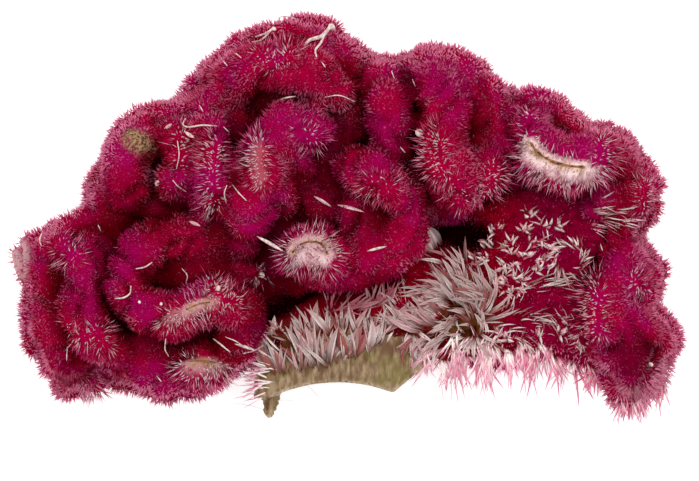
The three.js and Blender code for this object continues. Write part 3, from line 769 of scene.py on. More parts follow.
    def hub_line(self) -> Points:
        """The fold across the near ends of the pleats."""
        reach, height, radius = self.hub
        angles = np.linspace(*self.hub_angles, 11)
        return [[*self.fan_point(reach, angle), height, radius] for angle in angles]

    def lines(self) -> list[Points]:
        """All the folds."""
        return [*self.face.values(), *self.edges(), *self.pleats(), self.hub_line()]


CORE_OUTLINE: Points = (
    [-33.4, -5], [-33, -13], [-30.4, -16], [-26.4, -14], [-20, -16], [-13.4, -13.6], [-9.6, -10.6],
    [-3, -8], [4, -6], [8.6, -1.2], [16, 0.4], [24, 0.4], [26.6, -3], [26.4, -7], [27.2, -14],
    [32.4, -15.6], [33, -9], [31.4, -2], [31.4, 4], [26.4, 7.4], [20, 10], [14.4, 13], [6, 14.4], [0, 15.8],
    [-5.4, 17.6], [-11, 16], [-16, 12], [-20.6, 9], [-25, 6.6], [-26.4, 0], [-30.4, -3],
)


@dataclass
class Sky:
    """Measures how much of the sky each place of a surface sees."""

    rays: int = 10
    reach: float = 11.0
    lift: float = 0.2
    tilts: tuple[float, float] = (38, 68)
    closed: float = 0.3
    span: float = 0.66

    def measure(self, mesh: Mesh, *others: Mesh) -> np.ndarray:
        """The share of rays that get away from each vertex, smoothed over its neighbours.

        Args:
            mesh: The surface.
            others: What else stands in the rays' way.

        Returns:
            One number for each vertex: 0 deep in a hollow and 1 out in the open.
        """
        trees = [tree_of(item) for item in (mesh, *others)]
        outward = normals(mesh)
        starts = (coordinates(mesh) + outward * self.lift * MM).tolist()
        free = np.zeros(len(starts))
        across, along = bases(outward, np.zeros(len(starts)))
        reach = self.reach * MM
        for ray in range(self.rays):
            turn = 2 * math.pi * ray / self.rays
            tilt = math.radians(self.tilts[ray % 2])
            ways = across * math.cos(turn) + along * math.sin(turn)
            ways = (ways * math.sin(tilt) + outward * math.cos(tilt)).tolist()
            nearest = np.full(len(starts), reach)
            for tree in trees:
                hits = [tree.ray_cast(start, way, reach)[3] for start, way in zip(starts, ways)]
                nearest = np.minimum(nearest, [reach if hit is None else hit for hit in hits])
            free += nearest / reach
        return clamp((smoothed(mesh, free / self.rays, 2) - self.closed) / self.span)

    def open_with_painted_light(self, mesh: Mesh, *others: Mesh) -> np.ndarray:
        """The same, shifted by the painted light and painted shade of the spots in TONES."""
        return clamp(self.measure(mesh, *others) + painted_light_shift(coordinates(mesh)))




# Pushes on the skin near the head's outline: rows of X, Y, the push along each, and its reach.
NUDGES: Points = (
    [-18.8, 15.6, 0.7, -1, 2.2], [-29.4, 7, 1.1, -0.4, 2.4], [-26.4, 11.6, 0.5, -0.7, 3],
    [27, 12.6, -0.6, -1.1, 2.4], [31, 10.8, -0.3, -0.7, 2.4], [35.4, 6.6, -0.6, -0.4, 2],
    [36, -2.8, -1.2, 0, 2.6], [36.6, -10.8, -0.8, 0, 1.6], [37.4, -18.6, -0.7, 0.3, 2.4],
    [33.2, -21.4, -0.2, -1.1, 3], [-36.4, -0.6, 0.6, -1.2, 2.6], [-38, -10.6, 0.8, 0, 2.6],
    [-30, -20.8, -0.6, 1, 3], [-27.8, -19, -1.4, 1.6, 1.8], [-20.6, -20.4, 0, -1.1, 3.6],
    [14.4, 18, 0.4, 0.6, 2.6], [-38, -5.6, -0.3, 0, 3], [-11.8, -18.6, -0.2, 0.8, 2],
)


@dataclass
class CrestTissue:
    """The folded tissue of the crest, one skin over all its folds."""

    folds: Folds = field(default_factory=Folds)
    spacing: float = 1.0
    voxel: float = 0.56
    smoothing: int = 3
    slimmer: float = 0.25
    core: tuple[float, float] = (6, 17.2)
    crumple: Points = ((4.6, 1.0), (2.2, 0.5), (1.2, 0.2))
    groove: tuple[float, float, float] = (5.0, 0.09, 0.85)
    worn_pad: float = 0.5
    lip: float = 0.8

    def build(self, finish: Material) -> Object:
        """Sweeps the folds, fuses them with the core and crumples the skin.

        Args:
            finish: The tissue's material.

        Returns:
            The tissue, with a number "open" stored at each vertex: 0 deep in a hollow and 1 out in the open,
            shifted by the painted light and shade spots; its finish turns it into painted shade.
        """
        bm = bmesh.new()
        for line in self.folds.lines():
            rows = smooth_line(line, self.spacing)
            sweep(bm, np.column_stack([placed(rows[:, :3]), (rows[:, 3] - self.slimmer) * MM]))
        slab(bm, CORE_OUTLINE, *self.core)
        piece = object_of(bm, "crest_tissue")
        remesh(piece, self.voxel, self.smoothing)
        self.crumple_skin(piece.data)
        self.mark(piece.data)
        return dress(piece, finish)

    def crumple_skin(self, mesh: Mesh) -> None:
        """Crumples and grooves the skin, and nudges its outline."""
        places, outward = coordinates(mesh), normals(mesh)
        swell = sum(depth * shade_noise(places, size, size) for size, depth in self.crumple)
        size, width, depth = self.groove
        swell -= depth * np.exp(-((shade_noise(places, size, 31) / width) ** 2))
        places += outward * swell[:, None] * MM
        own = in_own_frame(places)
        for x, y, *push, reach in NUDGES:
            gap = np.linalg.norm(own - np.array((x, y)), axis=1)
            places[:, :2] += np.exp(-((gap / reach) ** 2))[:, None] * np.array(push) * MM
        places[:, 2] = np.maximum(places[:, 2], 0)
        set_coordinates(mesh, places)

    def mark(self, mesh: Mesh) -> None:
        """Stores how open the skin is, with the painted light and shade spots, and where it is bare, silky or
        dry.
        """
        places = coordinates(mesh)
        upward = clamp(normals(mesh)[:, 2] * 3)
        pad, lip = covered(PADS, places, CRISP) * self.worn_pad, np.zeros(len(places))
        for parting in PARTINGS.values():
            _, near = parting.measure(places)
            pad = np.maximum(pad, parting.pad * clamp(near * 3 - 0.9) * upward)
            lip = np.maximum(lip, parting.lip(near, self.lip))
        bare = covered(WORN, places, CRISP) * upward
        set_attributes(mesh, open=Sky().open_with_painted_light(mesh), bare=bare, pad=pad, lip=lip)


def smoothed(mesh: Mesh, values: np.ndarray, times: int) -> np.ndarray:
    """Averages numbers over each vertex's neighbours, some times over."""
    ends = np.empty(len(mesh.edges) * 2, np.int32)
    mesh.edges.foreach_get("vertices", ends)
    first, second = ends.reshape(-1, 2).T
    count = np.bincount(ends, minlength=len(values))
    for _ in range(times):
        total = np.bincount(first, values[second], len(values))
        total += np.bincount(second, values[first], len(values))
        values = 0.5 * values + 0.5 * total / np.maximum(count, 1)
    return values


# ---- The pile ----


class Ground:
    """The highest surface of some pieces at any place, as seen from above or from below."""

    def __init__(self, *pieces: Object) -> None:
        """Builds a search tree for each piece."""
        self.trees = [tree_of(piece.data) for piece in pieces]

    def height(self, x: float, y: float, facing: int = 1) -> float | None:
        """The height, in millimetres, at a place of the plant's own frame, or None beside the pieces.

        Args:
            x: The place along X, in millimetres.
            y: The place along Y, in millimetres.
            facing: 1 to look from above and -1 to look from below.
        """
        start = placed([[x, y, FAR * facing]])[0].tolist()
        hits = [tree.ray_cast(start, (0, 0, -facing))[0] for tree in self.trees]
        found = [hit.z / MM for hit in hits if hit is not None]
        return (max(found) if facing > 0 else min(found)) if found else None

    def is_beside(self, places: np.ndarray) -> np.ndarray:
        """Tells for each place, in metres, whether it lies beside the pieces as seen from above."""
        starts, down = with_height(places, FAR * MM).tolist(), (0, 0, -1)
        return np.array([all(tree.ray_cast(at, down)[0] is None for tree in self.trees) for at in starts])


@dataclass(frozen=True)
class Parting:
    """A line on the crest's face from which the bristles are combed away.

    They are pale beside it, and long and pink where its reach ends. A dry crease may run along it.
    """

    line: Points
    reach: tuple[float, float]
    pale: float = 1.0
    lean: float = 1.0
    crease: float = 0.0
    pad: float = 0.0

    def measure(self, places: np.ndarray) -> tuple[np.ndarray, np.ndarray]:
        """The level direction away from the line, and how near places are to it: 1 on it, 0 at its reach."""
        away, gap, side = from_line(places, placed(with_height(smooth_line(self.line, 0.4))))
        near = clamp(1 - gap / (np.where(side > 0, *self.reach) * MM))
        top = np.max(places[near > 0.5, 2], initial=0)
        return away, near * (places[:, 2] > top - LAYER * MM)

    def lip(self, near: np.ndarray, most: float) -> np.ndarray:
        """How dry places are beside the crease, from how near they are: the most on it, and 0 without one."""
        return np.clip(near * 7 - 5.6, 0, most if self.crease else 0)


PARTINGS: dict[str, Parting] = {
    "mouth": Parting(
        [[20.9, 8.3], [21.6, 7.3], [22.8, 6.5], [24, 6], [25.5, 5.7], [26.9, 5.6]], (1.2, 3), 1, 0.9, 0.17, 1,
    ),
    "mouth_end": Parting([[27.4, 5.4], [28.6, 6.4], [28.8, 8.4]], (0.8, 2.6), 0.4, 1.4),
    "mouth_ring": Parting([[21.4, 12.6], [20.6, 11.2], [20.4, 9.8]], (1.6, 0.9), 0.15, 1.1),
    "white_patch": Parting(
        [[-6.3, -4.1], [-5.7, -3.4], [-4.9, -3], [-4, -2.9], [-3, -3.2], [-2.3, -4.3]], (1.5, 1.2), 0.85, 0.9,
        0.13, 0.6,
    ),
    "white_fall": Parting([[-5.5, -4.4], [-4.2, -3.8], [-2.9, -4.6]], (0.5, 2.2), 0.95, 1, 0, 0.85),
    "hook_crease": Parting([[-9.9, 7.6], [-10.1, 6.4], [-9.7, 4.4]], (0.8, 2.1), 0.95, 1.2, 0, 0.1),
    "rib_crease": Parting([[-15, 8.2], [-15.3, 4.2], [-15, 1.6]], (0.8, 1.6), 0.6, 1.2),
    "rib_a_crease": Parting([[-19.4, 9.2], [-19.3, 5.2]], (1.7, 0.5), 0.4, 1.3),
    "plume_patch": Parting([[10.4, 8.4], [10.4, 6.8], [11, 5.6]], (0.9, 2.2), 0.6, 1.2),
    "plume_chin": Parting([[12.2, 4], [13, 2.2]], (1, 1.3), 0.25, 1.1),
    "outer_plume_patch": Parting([[16.8, 5.2], [16.4, 4], [15.4, 2.8]], (1.3, 1.4), 0.5, 0.4),
    "ring_patch_a": Parting([[-20.4, -11.4], [-18.8, -10.9]], (0.8, 1.8), 0.7, 0.9, 0, 0.2),
    "ring_patch_b": Parting([[-18.4, -10.6], [-17, -10], [-15.8, -9.8]], (1, 1.6), 0.8, 1.1, 0.09, 0.4),
    "ring_patch_c": Parting([[-15.6, -8.2], [-14.8, -9.2], [-13.2, -9.8]], (1.5, 0.9), 0.65, 1.2),
    "jaw_patch": Parting([[-18, -16.6], [-16.6, -16.5], [-15.2, -16.7]], (0.5, 2.6), 0.7, 1.1, 0.1, 0.3),
    "left_tee": Parting([[-32.3, -12.6], [-31.5, -13.7], [-30, -13.8], [-28.6, -13.6]], (0.7, 0.8), 0.5, 1),
    "left_tee_end": Parting([[-28.5, -13], [-28, -14.6]], (1.2, 1.2), 0.25, 1.2),
    "left_tuft": Parting([[-32.6, -3.5], [-31.6, -4.4]], (1.3, 1.6), 0.3, 1.3),
    "small_tuft": Parting([[-10.3, -6.7], [-9.4, -6.6]], (0.8, 0.7), 0.8, 0.9),
    "right_cheek": Parting([[28.7, -9], [28.6, -11], [28.8, -13]], (0.9, 3.4), 0.45, 1.6),
    "right_spiral": Parting([[33, -7.4], [34, -8.2], [35, -8]], (1.5, 1.5), 0.3, 1.3),
    "right_edge": Parting([[34.2, 3.2], [34.2, 1]], (1.4, 1.5), 0.3, 1.1),
    "crown_rosette": Parting([[-9.8, 18.2], [-8.6, 17.8], [-7, 18.4]], (1.6, 1.3), 0.3, 1),
    "centre_star": Parting([[3, 3.4], [4.4, 3.2]], (1.6, 1.6), 0.25, 1),
    "hook_head": Parting([[-5.2, 9.4], [-4, 9]], (1.3, 1.3), 0.35, 1),
}


@dataclass(frozen=True)
class Spot:
    """A tilted ellipse on the crest's face where the pile is worn away or changed."""

    centre: tuple[float, float]
    size: tuple[float, float]
    tilt: float = 0.0
    lowest: float = 0.0

    def depth(self, places: np.ndarray) -> np.ndarray:
        """How deep places lie in the spot: 1 at its centre, 0 on its rim, and below 0 outside."""
        turn = math.radians(self.tilt)
        away = places[:, :2] - placed([[*self.centre, 0]])[0, :2]
        along = away @ np.array([math.cos(turn), math.sin(turn)]) / (self.size[0] * MM)
        across = away @ np.array([-math.sin(turn), math.cos(turn)]) / (self.size[1] * MM)
        return np.where(places[:, 2] > self.lowest * MM, 1 - np.hypot(along, across), -1)


# Painted light and painted shade on the face, which raise or lower "open": rows of X, Y, two half widths and
# the change of "open".
PAINTED_LIGHT_FROM = 5.0
TONES: Points = (
    [-23.8, -1.4, 4.5, 3.5, -0.25], [-33, -9.1, 3.4, 4, -0.28], [27.8, -6.5, 3.2, 3.4, -0.3],
    [-13.7, -16.4, 3.4, 3, -0.4], [32.5, 0.8, 2.8, 2.6, -0.25], [33, -16.2, 4.4, 4, -0.45],
    [-8.2, -9.8, 5.4, 3.4, -0.6], [0.4, -9.4, 6, 2.6, -0.4], [4.4, -7.7, 3.6, 2.2, -0.45],
    [-10.8, -4, 2.8, 2.4, -0.25], [14.3, -2.3, 3.4, 2.2, -0.4], [-5, 13, 5.5, 2.6, 0.3],
    [-14.8, 13, 3.4, 2.6, 0.3], [34.2, -9.8, 3.4, 2, 0.4], [-8.3, 18, 3.4, 1.8, 0.35],
    [-3.9, 18.5, 2.8, 1.8, 0.35], [15.1, 17.6, 3, 2.4, 0.35], [12.7, 6.2, 2.2, 2.8, 0.35],
    [15.6, 4.7, 2.6, 2.2, 0.35], [-7.3, 7.2, 2.8, 2.8, 0.3], [30, -10.5, 2.2, 2.8, 0.35],
    [-28.1, -18.9, 1.9, 2.8, 0.7], [30.4, -20, 2.2, 2.2, 0.5], [-22.3, 4.8, 2.2, 1.8, 0.3],
    [-11.7, 0.1, 2.2, 1.8, 0.25], [-10.3, -13.2, 2.6, 2.4, -0.3], [-31.8, -18.3, 2.6, 2.8, -0.3],
    [24.6, 9.1, 2.6, 2, 0.3], [6.6, 4.3, 2.6, 2.6, 0.25], [-0.3, 12.1, 3.2, 2.2, 0.2],
)


def painted_light_shift(places: np.ndarray) -> np.ndarray:
    """How much painted light or painted shade shifts the openness at some places: above 0 lighter, below 0
    darker.
    """
    spots = [(Spot((x, y), (wide, high), 0, PAINTED_LIGHT_FROM), change) for x, y, wide, high, change in TONES]
    return sum(change * covered([spot], places, FADING) for spot, change in spots)


HARD, CRISP, FADING = 5, 3, 1.6  # how steeply a spot falls off at its edge


def covered(spots: Sequence[Spot], places: np.ndarray, steepness: float, most: float = 1.0) -> np.ndarray:
    """How far places are covered by any of some spots: 0 outside them, and the most well inside."""
    return np.max([np.clip(spot.depth(places) * steepness, 0, most) for spot in spots], axis=0)


WORN: tuple[Spot, ...] = (Spot((-24.1, 8.6), (2.5, 1.6), -32, 18),)
PADS: tuple[Spot, ...] = (Spot((-38.6, -5), (2.3, 3.7), -2),)
HOLLOW = Spot((11.6, -1.8), (5.8, 3.2), -12)
SHAGGY: tuple[Spot, ...] = (Spot((34.6, -20.6), (5, 4), 40), Spot((-29.6, -20.4), (1.8, 2.6)))


def spindle(rows: int) -> Object:
    """A closed three-sided spindle.

    Args:
        rows: How many rows of faces it has along its length.

    Returns:
        The spindle, which reaches 1 from its middle line where it is thickest.
    """
    bm, corner = bmesh.new(), Matrix.Translation((0.5, 0.5, 0))
    bmesh.ops.create_grid(bm, x_segments=3, y_segments=rows, size=0.5, matrix=corner)
    for vert in bm.verts:
        turn, share = vert.co.x * 2 * math.pi, vert.co.y
        radius = math.sin(math.pi * share)
        vert.co = (radius * math.cos(turn), share**1.25, radius * math.sin(turn))
    bmesh.ops.remove_doubles(bm, verts=bm.verts, dist=1e-4)
    piece = object_of(bm, "spindle")
    set_attributes(piece.data, along=coordinates(piece.data)[:, 1])
    return piece


def blade(rows: int, cup: float, curl: float, widest: float, thickness: float) -> Object:
    """A cupped, pointed blade with a rib down its middle.

    Args:
        rows: How many rows of faces it has along its length.
        cup: How far its margins stand up, as a share of its length.
        curl: How far its tip bends back, as a share of its length.
        widest: Where it is widest, as a share of its length.
        thickness: Its thickness, as a share of its length.

    Returns:
        The blade, which reaches from -1 to 1 across.
    """
    bm = bmesh.new()
    bmesh.ops.create_grid(bm, x_segments=2, y_segments=rows, size=0.5, matrix=Matrix.Translation((0, 0.5, 0)))
    for vert in bm.verts:
        share = vert.co.y
        bulge = share / widest if share < widest else (1 - share) / (1 - widest)
        start = 0.14 if share < widest else 0
        half = start + (1 - start) * math.sin(bulge * math.pi / 2) ** 0.9
        side = vert.co.x * 2
        vert.co.x = side * half
        vert.co.z = cup * abs(side) * half - curl * share**2
    bmesh.ops.remove_doubles(bm, verts=bm.verts, dist=0.02)
    bmesh.ops.solidify(bm, geom=bm.faces[:], thickness=thickness)
    piece = object_of(bm, "blade")
    places = coordinates(piece.data)
    set_attributes(piece.data, along=places[:, 1], across=clamp(np.abs(places[:, 0])))
    return piece


@dataclass
class Bristles:
    """Where some bristles stand and how they look, one row each."""

    roots: np.ndarray
    outward: np.ndarray
    open: np.ndarray
    bare: np.ndarray


@dataclass
class Pile:
    """The dense pile of bristles on the crest. Its strands are the long bristles at a parting's reach."""

    name: str = "pile"
    face_density: float = 13.5
    back_density: float = 3.0
    back_below: float = -0.15
    most_padded: float = 0.9
    length: tuple[float, float] = (0.48, 0.74)
    steepness: tuple[float, float] = (0.2, 0.9)
    least_grown: float = 0.75
    spread: float = 0.24
    spread_limits: tuple[float, float] = (-1.8, 1.8)
    growth: tuple[float, float, float] = (1.5, 1.2, 0.12)
    girth: float = 0.08
    strand_thinning: float = 0.42
    jitter: float = 0.24
    clump: tuple[float, float, float] = (1.3, 0.7, 0.9)
    clump_offsets: tuple[float, float, float] = (3.3, 17.7, 41.1)
    edge_probes: tuple[float, float] = (1.6, 3.2)
    curve: tuple[float, float] = (0.12, 0.36)
    sunk: float = 0.12
    strand_lift: float = 0.3
    most_dry: float = 0.75
    least_kept: float = 0.3
    bare_from: float = 0.4
    palest: float = 0.97
    most: int = 32000
    random: np.random.Generator = field(default_factory=Seed.PILE.draws)

    def sow(self, mesh: Mesh) -> Bristles:
        """Draws the bristles' places, evenly over the tissue's faces."""
        corners = corners_of_faces(mesh)
        places, outward = coordinates(mesh), normals(mesh)
        a, b, c = (places[corners[:, i]] for i in range(3))
        area = np.linalg.norm(np.cross(b - a, c - a), axis=1) / 2 / MM**2
        facing = outward[corners].mean(axis=1)[:, 2]
        density = np.where(facing > self.back_below, self.face_density, self.back_density)
        count = np.floor(area * density + self.random.random(len(area))).astype(int)
        chosen = np.repeat(np.arange(len(corners)), count)
        u, v = self.random.random((2, len(chosen)))
        over = u + v > 1
        u[over], v[over] = 1 - u[over], 1 - v[over]
        weights = np.stack([1 - u - v, u, v], axis=1)

        def blend(values: np.ndarray) -> np.ndarray:
            """Mixes the values of each face's corners."""
            picked = values[corners[chosen]]
            return (picked * weights.reshape(*weights.shape, *[1] * (picked.ndim - 2))).sum(axis=1)

        padded = covered(PADS, places, HARD, self.most_padded)
        bare = blend(np.maximum(get_attribute(mesh, "bare"), padded))
        return Bristles(blend(places), unit(blend(outward)), blend(get_attribute(mesh, "open")), bare)

    def comb(self, sown: Bristles) -> tuple[np.ndarray, np.ndarray, np.ndarray, np.ndarray]:
        """Combs the bristles away from the partings.

        Args:
            sown: The bristles.

        Returns:
            The direction of each, how pale it is, how far it is a strand, and how near a crease it is.
        """
        count = len(sown.roots)
        size, lean, upright = self.clump
        clumps = np.stack([shade_noise(sown.roots, size, offset) for offset in self.clump_offsets], axis=1)
        ways = unit(sown.outward + lean * (1 + upright * clamp(sown.outward[:, 2:])) * clumps)
        pale, strand, lip = np.zeros(count), np.zeros(count), np.zeros(count)
        upward = clamp(sown.outward[:, 2] * 2.5) * clamp(sown.open * 4 - 0.4)
        luck, other = self.random.random((2, count))
        ragged = 1 + 0.9 * shade_noise(sown.roots, 1.1, 41)
        for parting in PARTINGS.values():
            away, near = parting.measure(sown.roots)
            near = clamp(near * upward * np.where(near > 0.6, 1, ragged))
            drawn = luck < parting.pale * clamp(near * 3.4 - 0.6 * parting.pale)
            pale = np.maximum(pale, drawn * (0.4 + 0.5 * other) * (1 if parting.crease else 0.7 + 0.3 * near))
            long = (other < 0.7) * (near > 0.05) * clamp(near * 4) * clamp(1.5 - near * 2)
            combed = parting.lean * (clamp(near * 3) * (1.5 - 0.7 * near) + 0.8 * long)
            ways += away * combed[:, None]
            strand, lip = np.maximum(strand, long), np.maximum(lip, parting.lip(near, self.most_dry))
        return unit(ways), pale, strand, lip

    def at_edge(self, sown: Bristles, ground: Ground) -> np.ndarray:
        """How near the bristles are to the head's edge as seen from above: 1 right on it."""
        level = sown.outward * np.array([1, 1, 0])
        near = [ground.is_beside(sown.roots + unit(level) * probe * MM) for probe in self.edge_probes]
        return np.mean(near, axis=0)

    def painted_tip_light(
        self, sown: Bristles, steep: np.ndarray, edge: np.ndarray, strand: np.ndarray, shag: np.ndarray
    ) -> np.ndarray:
        """How far each bristle's tip is lit pink by painted light: glints and sheen on open ridges, backlight
        near the head's edge, and the lighter tone spots.

        Args:
            sown: The bristles.
            steep: How steep the tissue is under each, from 0 to 1.
            edge: How near each is to the head's edge.
            strand: How far each is a strand.
            shag: How far each is in the shaggy places.

        Returns:
            One number for each bristle, from 0 to 1.
        """
        count = len(steep)
        ridge = clamp((steep - 0.25) / 0.5) * clamp(sown.open * 2.6 - 1.3)
        patch = clamp(0.25 + 1.9 * shade_noise(sown.roots, 2.7, 17))
        # The chance that a tip has a painted glint, how bright it is then, and how much painted sheen and
        # backlight the other tips get.
        glints = 0.01 + 0.05 * patch + ridge * np.maximum(0.04 + 0.26 * patch, 0.6 * edge)
        glints = np.maximum(glints, np.maximum(0.42 * strand, 0.75 * shag)) * clamp(sown.open * 2.4 - 0.6)
        bright = 0.15 + 0.85 * self.random.random(count) ** 1.5
        bright *= 0.55 + 0.4 * clamp(edge + 0.5 * strand + shag)
        painted_sheen = (0.15 + 0.85 * patch) * np.maximum(ridge, 0.5) * sown.open * self.random.random(count) ** 2.5
        # Painted light from the lighter tone spots, and more on the strands.
        light = clamp(painted_light_shift(sown.roots) * 1.6 + 0.6 * strand)
        painted_sheen = np.maximum(painted_sheen, light * self.random.random(count))
        # Painted backlight: the tips near the head's edge are lit pink.
        painted_sheen = np.maximum(painted_sheen, edge**2 * (0.6 + 0.4 * self.random.random(count)))
        return np.where(self.random.random(count) < glints, np.maximum(bright, painted_sheen), painted_sheen)

    def lengths(
        self, sown: Bristles, steep: np.ndarray, edge: np.ndarray, strand: np.ndarray, shag: np.ndarray
    ) -> np.ndarray:
        """How long each bristle is, in millimetres.

        Args:
            sown: The bristles.
            steep: How steep the tissue is under each, from 0 to 1.
            edge: How near each is to the head's edge.
            strand: How far each is a strand.
            shag: How far each is in the shaggy places.

        Returns:
            One length for each bristle.
        """
        for_strand, for_shag, for_edge = self.growth
        luck = 1 + self.spread * self.random.normal(size=len(steep)).clip(*self.spread_limits)
        shelter = self.least_grown + (1 - self.least_grown) * sown.open
        grown = shelter * (1 + for_strand * strand) * (1 + for_shag * shag + for_edge * edge)
        return np.interp(steep, self.steepness, self.length) * luck * grown

    def build(self, tissue: Object, ground: Ground, finish: Material) -> list[Object]:
        """Grows the pile.

        Args:
            tissue: The tissue that it grows on.
            ground: The whole head's tissue.
            finish: The bristles' material.

        Returns:
            The pile, in pieces.
        """
        sown = self.sow(tissue.data)
        ways, pale, strand, lip = self.comb(sown)
        edge = self.at_edge(sown, ground)
        count, upright = len(ways), sown.outward[:, 2]
        shag = covered(SHAGGY, sown.roots, CRISP) * clamp(1.2 - np.abs(upright) * 2)
        ways = unit(ways + (self.jitter * (1 - 0.6 * strand))[:, None] * self.random.normal(size=(count, 3)))
        steep = np.sqrt(clamp(1 - upright**2))
        length = self.lengths(sown, steep, edge, strand, shag)
        tips = sown.roots[:, 2] + ways[:, 2] * length * MM
        ways[:, 2] = np.where(tips < 0, np.maximum(ways[:, 2], -sown.roots[:, 2] / (length * MM)), ways[:, 2])
        ways = unit(ways)
        rim = self.painted_tip_light(sown, steep, edge, strand, shag)
        dark = 0.8 * (self.random.random(count) < 0.2 * edge)
        pale = np.clip(np.maximum(pale, 0.3 * shag * self.random.random(count)), 0, self.palest)
        luck = self.random.random(count)
        kept = sown.bare < np.where(luck < self.least_kept, 1, self.bare_from)
        kept &= luck < self.least_kept + 1.2 * sown.open
        marks = {"open": sown.open, "rim": rim, "pale": pale, "lip": lip, "dark": dark}
        across, _ = bases(ways, self.random.random(count) * 2 * math.pi)
        girth = self.girth * (0.8 + 0.4 * self.random.random(count)) * (1 - self.strand_thinning * strand)
        sizes = np.stack([girth, length, girth], axis=1) * MM
        curve = (self.curve[0] + self.curve[1] * strand) * length * MM * self.random.random(count)
        roots = sown.roots + sown.outward * (self.strand_lift * strand - self.sunk)[:, None] * MM
        rows = (roots, ways, across, sizes, across * curve[:, None])
        pieces = []
        for name, chosen in self.shares(sown, kept):
            own_marks = {key: values[chosen] for key, values in marks.items()}
            piece = scatter(spindle(2), name, *[row[chosen] for row in rows], own_marks)
            low = coordinates(piece.data)
            low[:, 2] = np.maximum(low[:, 2], 0)
            set_coordinates(piece.data, low)
            pieces.append(dress(piece, finish))
        return pieces

    def shares(self, sown: Bristles, kept: np.ndarray) -> list[tuple[str, np.ndarray]]:
        """Splits the bristles into pieces from left to right, with the back's apart from the face's."""
        facing = sown.outward[:, 2] > self.back_below
        found = []
        for side, chosen in (("face", kept & facing), ("back", kept & ~facing)):
            order = np.flatnonzero(chosen)
            order = order[np.argsort(sown.roots[order, 0], kind="stable")]
            parts = np.array_split(order, max(1, math.ceil(len(order) / self.most)))
            found += [(f"{self.name}_{side}_{n + 1}", part) for n, part in enumerate(parts)]
        return found


def with_height(line: np.ndarray, height: float = 0.0) -> np.ndarray:
    """Adds a column of heights to a flat line."""
    return np.column_stack([line[:, :2], np.full(len(line), height)])


def from_line(places: np.ndarray, line: np.ndarray) -> tuple[np.ndarray, np.ndarray, np.ndarray]:
    """Measures places against a line, as seen from above.

    Args:
        places: Rows of x, y and z, in metres.
        line: Rows of x, y and z, in metres.

    Returns:
        The level direction from the line to each place, the distance, and on which side the place is: above 0
        to the left of the line.
    """
    best = np.full(len(places), np.inf)
    away, side = np.zeros((len(places), 3)), np.zeros(len(places))
    for start, end in zip(line[:-1, :2], line[1:, :2]):
        span = end - start
        share = clamp(((places[:, :2] - start) @ span) / (span @ span))
        offset = places[:, :2] - start - share[:, None] * span
        gap = np.hypot(*offset.T)
        nearer = gap < best
        best[nearer] = gap[nearer]
        away[nearer, :2] = offset[nearer] / np.maximum(gap[nearer], 1e-9)[:, None]
        side[nearer] = (span[0] * offset[:, 1] - span[1] * offset[:, 0])[nearer]
    return away, best, side


# ---- The flank and its florets ----


@dataclass
class Flank:
    """The tissue that carries the florets, thinner towards the stalk."""

    outline: Points = (
        [-10, -17], [-10.6, -13.4], [-7, -9.4], [3, -6.4], [8, -1.4], [12.6, 1.6], [18, 3.4], [26, 3],
        [30.6, 0.6], [30, -8], [31.5, -15], [31.5, -18.4], [28.4, -17.4], [24.6, -16.2], [17, -15.6],
        [8.8, -16.8], [7, -15], [3, -15], [2, -17.4],
    )
    low: float = 6
    high: float = 19
    bevel: float = 2
    taper: tuple[float, float, float] = (-17, -4, 0.56)
    voxel: float = 0.5
    smoothing: int = 4
    lumps: Points = ((2.4, 0.5), (1.0, 0.25))
    calm_below: float = -15
    calm_left: float = 8
    hub: tuple[float, float] = (13.4, -11.8)
    hollow: float = 5.5
    far: float = 17

    def build(self, finish: Material) -> Object:
        """Makes the lumpy tissue, with "brown" stored where it is brown rather than wine red: near the stalk
        and the hub, partly the tissue's own colour and partly painted shade in the gaps between the florets.

        Args:
            finish: The tissue's material.

        Returns:
            The tissue.
        """
        bm = bmesh.new()
        slab(bm, self.outline, self.low, self.high)
        round_rims(bm, self.bevel)
        piece = object_of(bm, "flank_tissue")
        remesh(piece, self.voxel, self.smoothing)
        mesh = piece.data
        places, outward = coordinates(mesh), normals(mesh)
        own_x, own_y = in_own_frame(places).T
        middle = (self.low + self.high) / 2 * MM
        places[:, 2] = middle + (places[:, 2] - middle) * np.interp(own_y, self.taper[:2], (self.taper[2], 1))
        swell = sum(depth * shade_noise(places, size, 5) for size, depth in self.lumps)
        sunk = covered([HOLLOW], places, FADING) * clamp(outward[:, 2] * 2)
        places[:, 2] -= sunk * self.hollow * MM
        calm = clamp((own_y - self.calm_below) / 3) + clamp((own_x - self.calm_left) / 3)
        places += outward * (swell * np.clip(calm, 0.1, 1))[:, None] * MM
        set_coordinates(mesh, places)
        near_stalk = clamp((-11.4 - own_y) / 3) * clamp((13 - own_x) / 4)
        near_hub = clamp(1.7 - np.hypot(own_x - self.hub[0], (own_y - self.hub[1]) * 0.7) / 2.8)
        brown = np.maximum(near_stalk, near_hub)
        set_attributes(mesh, brown=brown, bare=brown, far=clamp((own_x - self.far) / 6))
        return dress(piece, finish)


def round_rims(bm: BMesh, offset: float) -> None:
    """Bevels the level edges of a slab by an offset in millimetres."""
    rims = [edge for edge in bm.edges if abs(edge.verts[0].co.z - edge.verts[1].co.z) < 1e-6]
    bmesh.ops.bevel(
        bm, geom=rims, offset=offset * MM, offset_type="OFFSET", affect="EDGES", segments=3, profile=0.5,
        material=-1, clamp_overlap=True,
    )


@dataclass(frozen=True)
class Fan:
    """Tepals whose roots lie along a line, and whose heading turns from one end of it to the other."""

    start: tuple[float, float]
    end: tuple[float, float]
    headings: tuple[float, float]
    length: float
    count: int
    width: float
    lean: float
    bend: float
    blush: float
    wine: float = 0.3


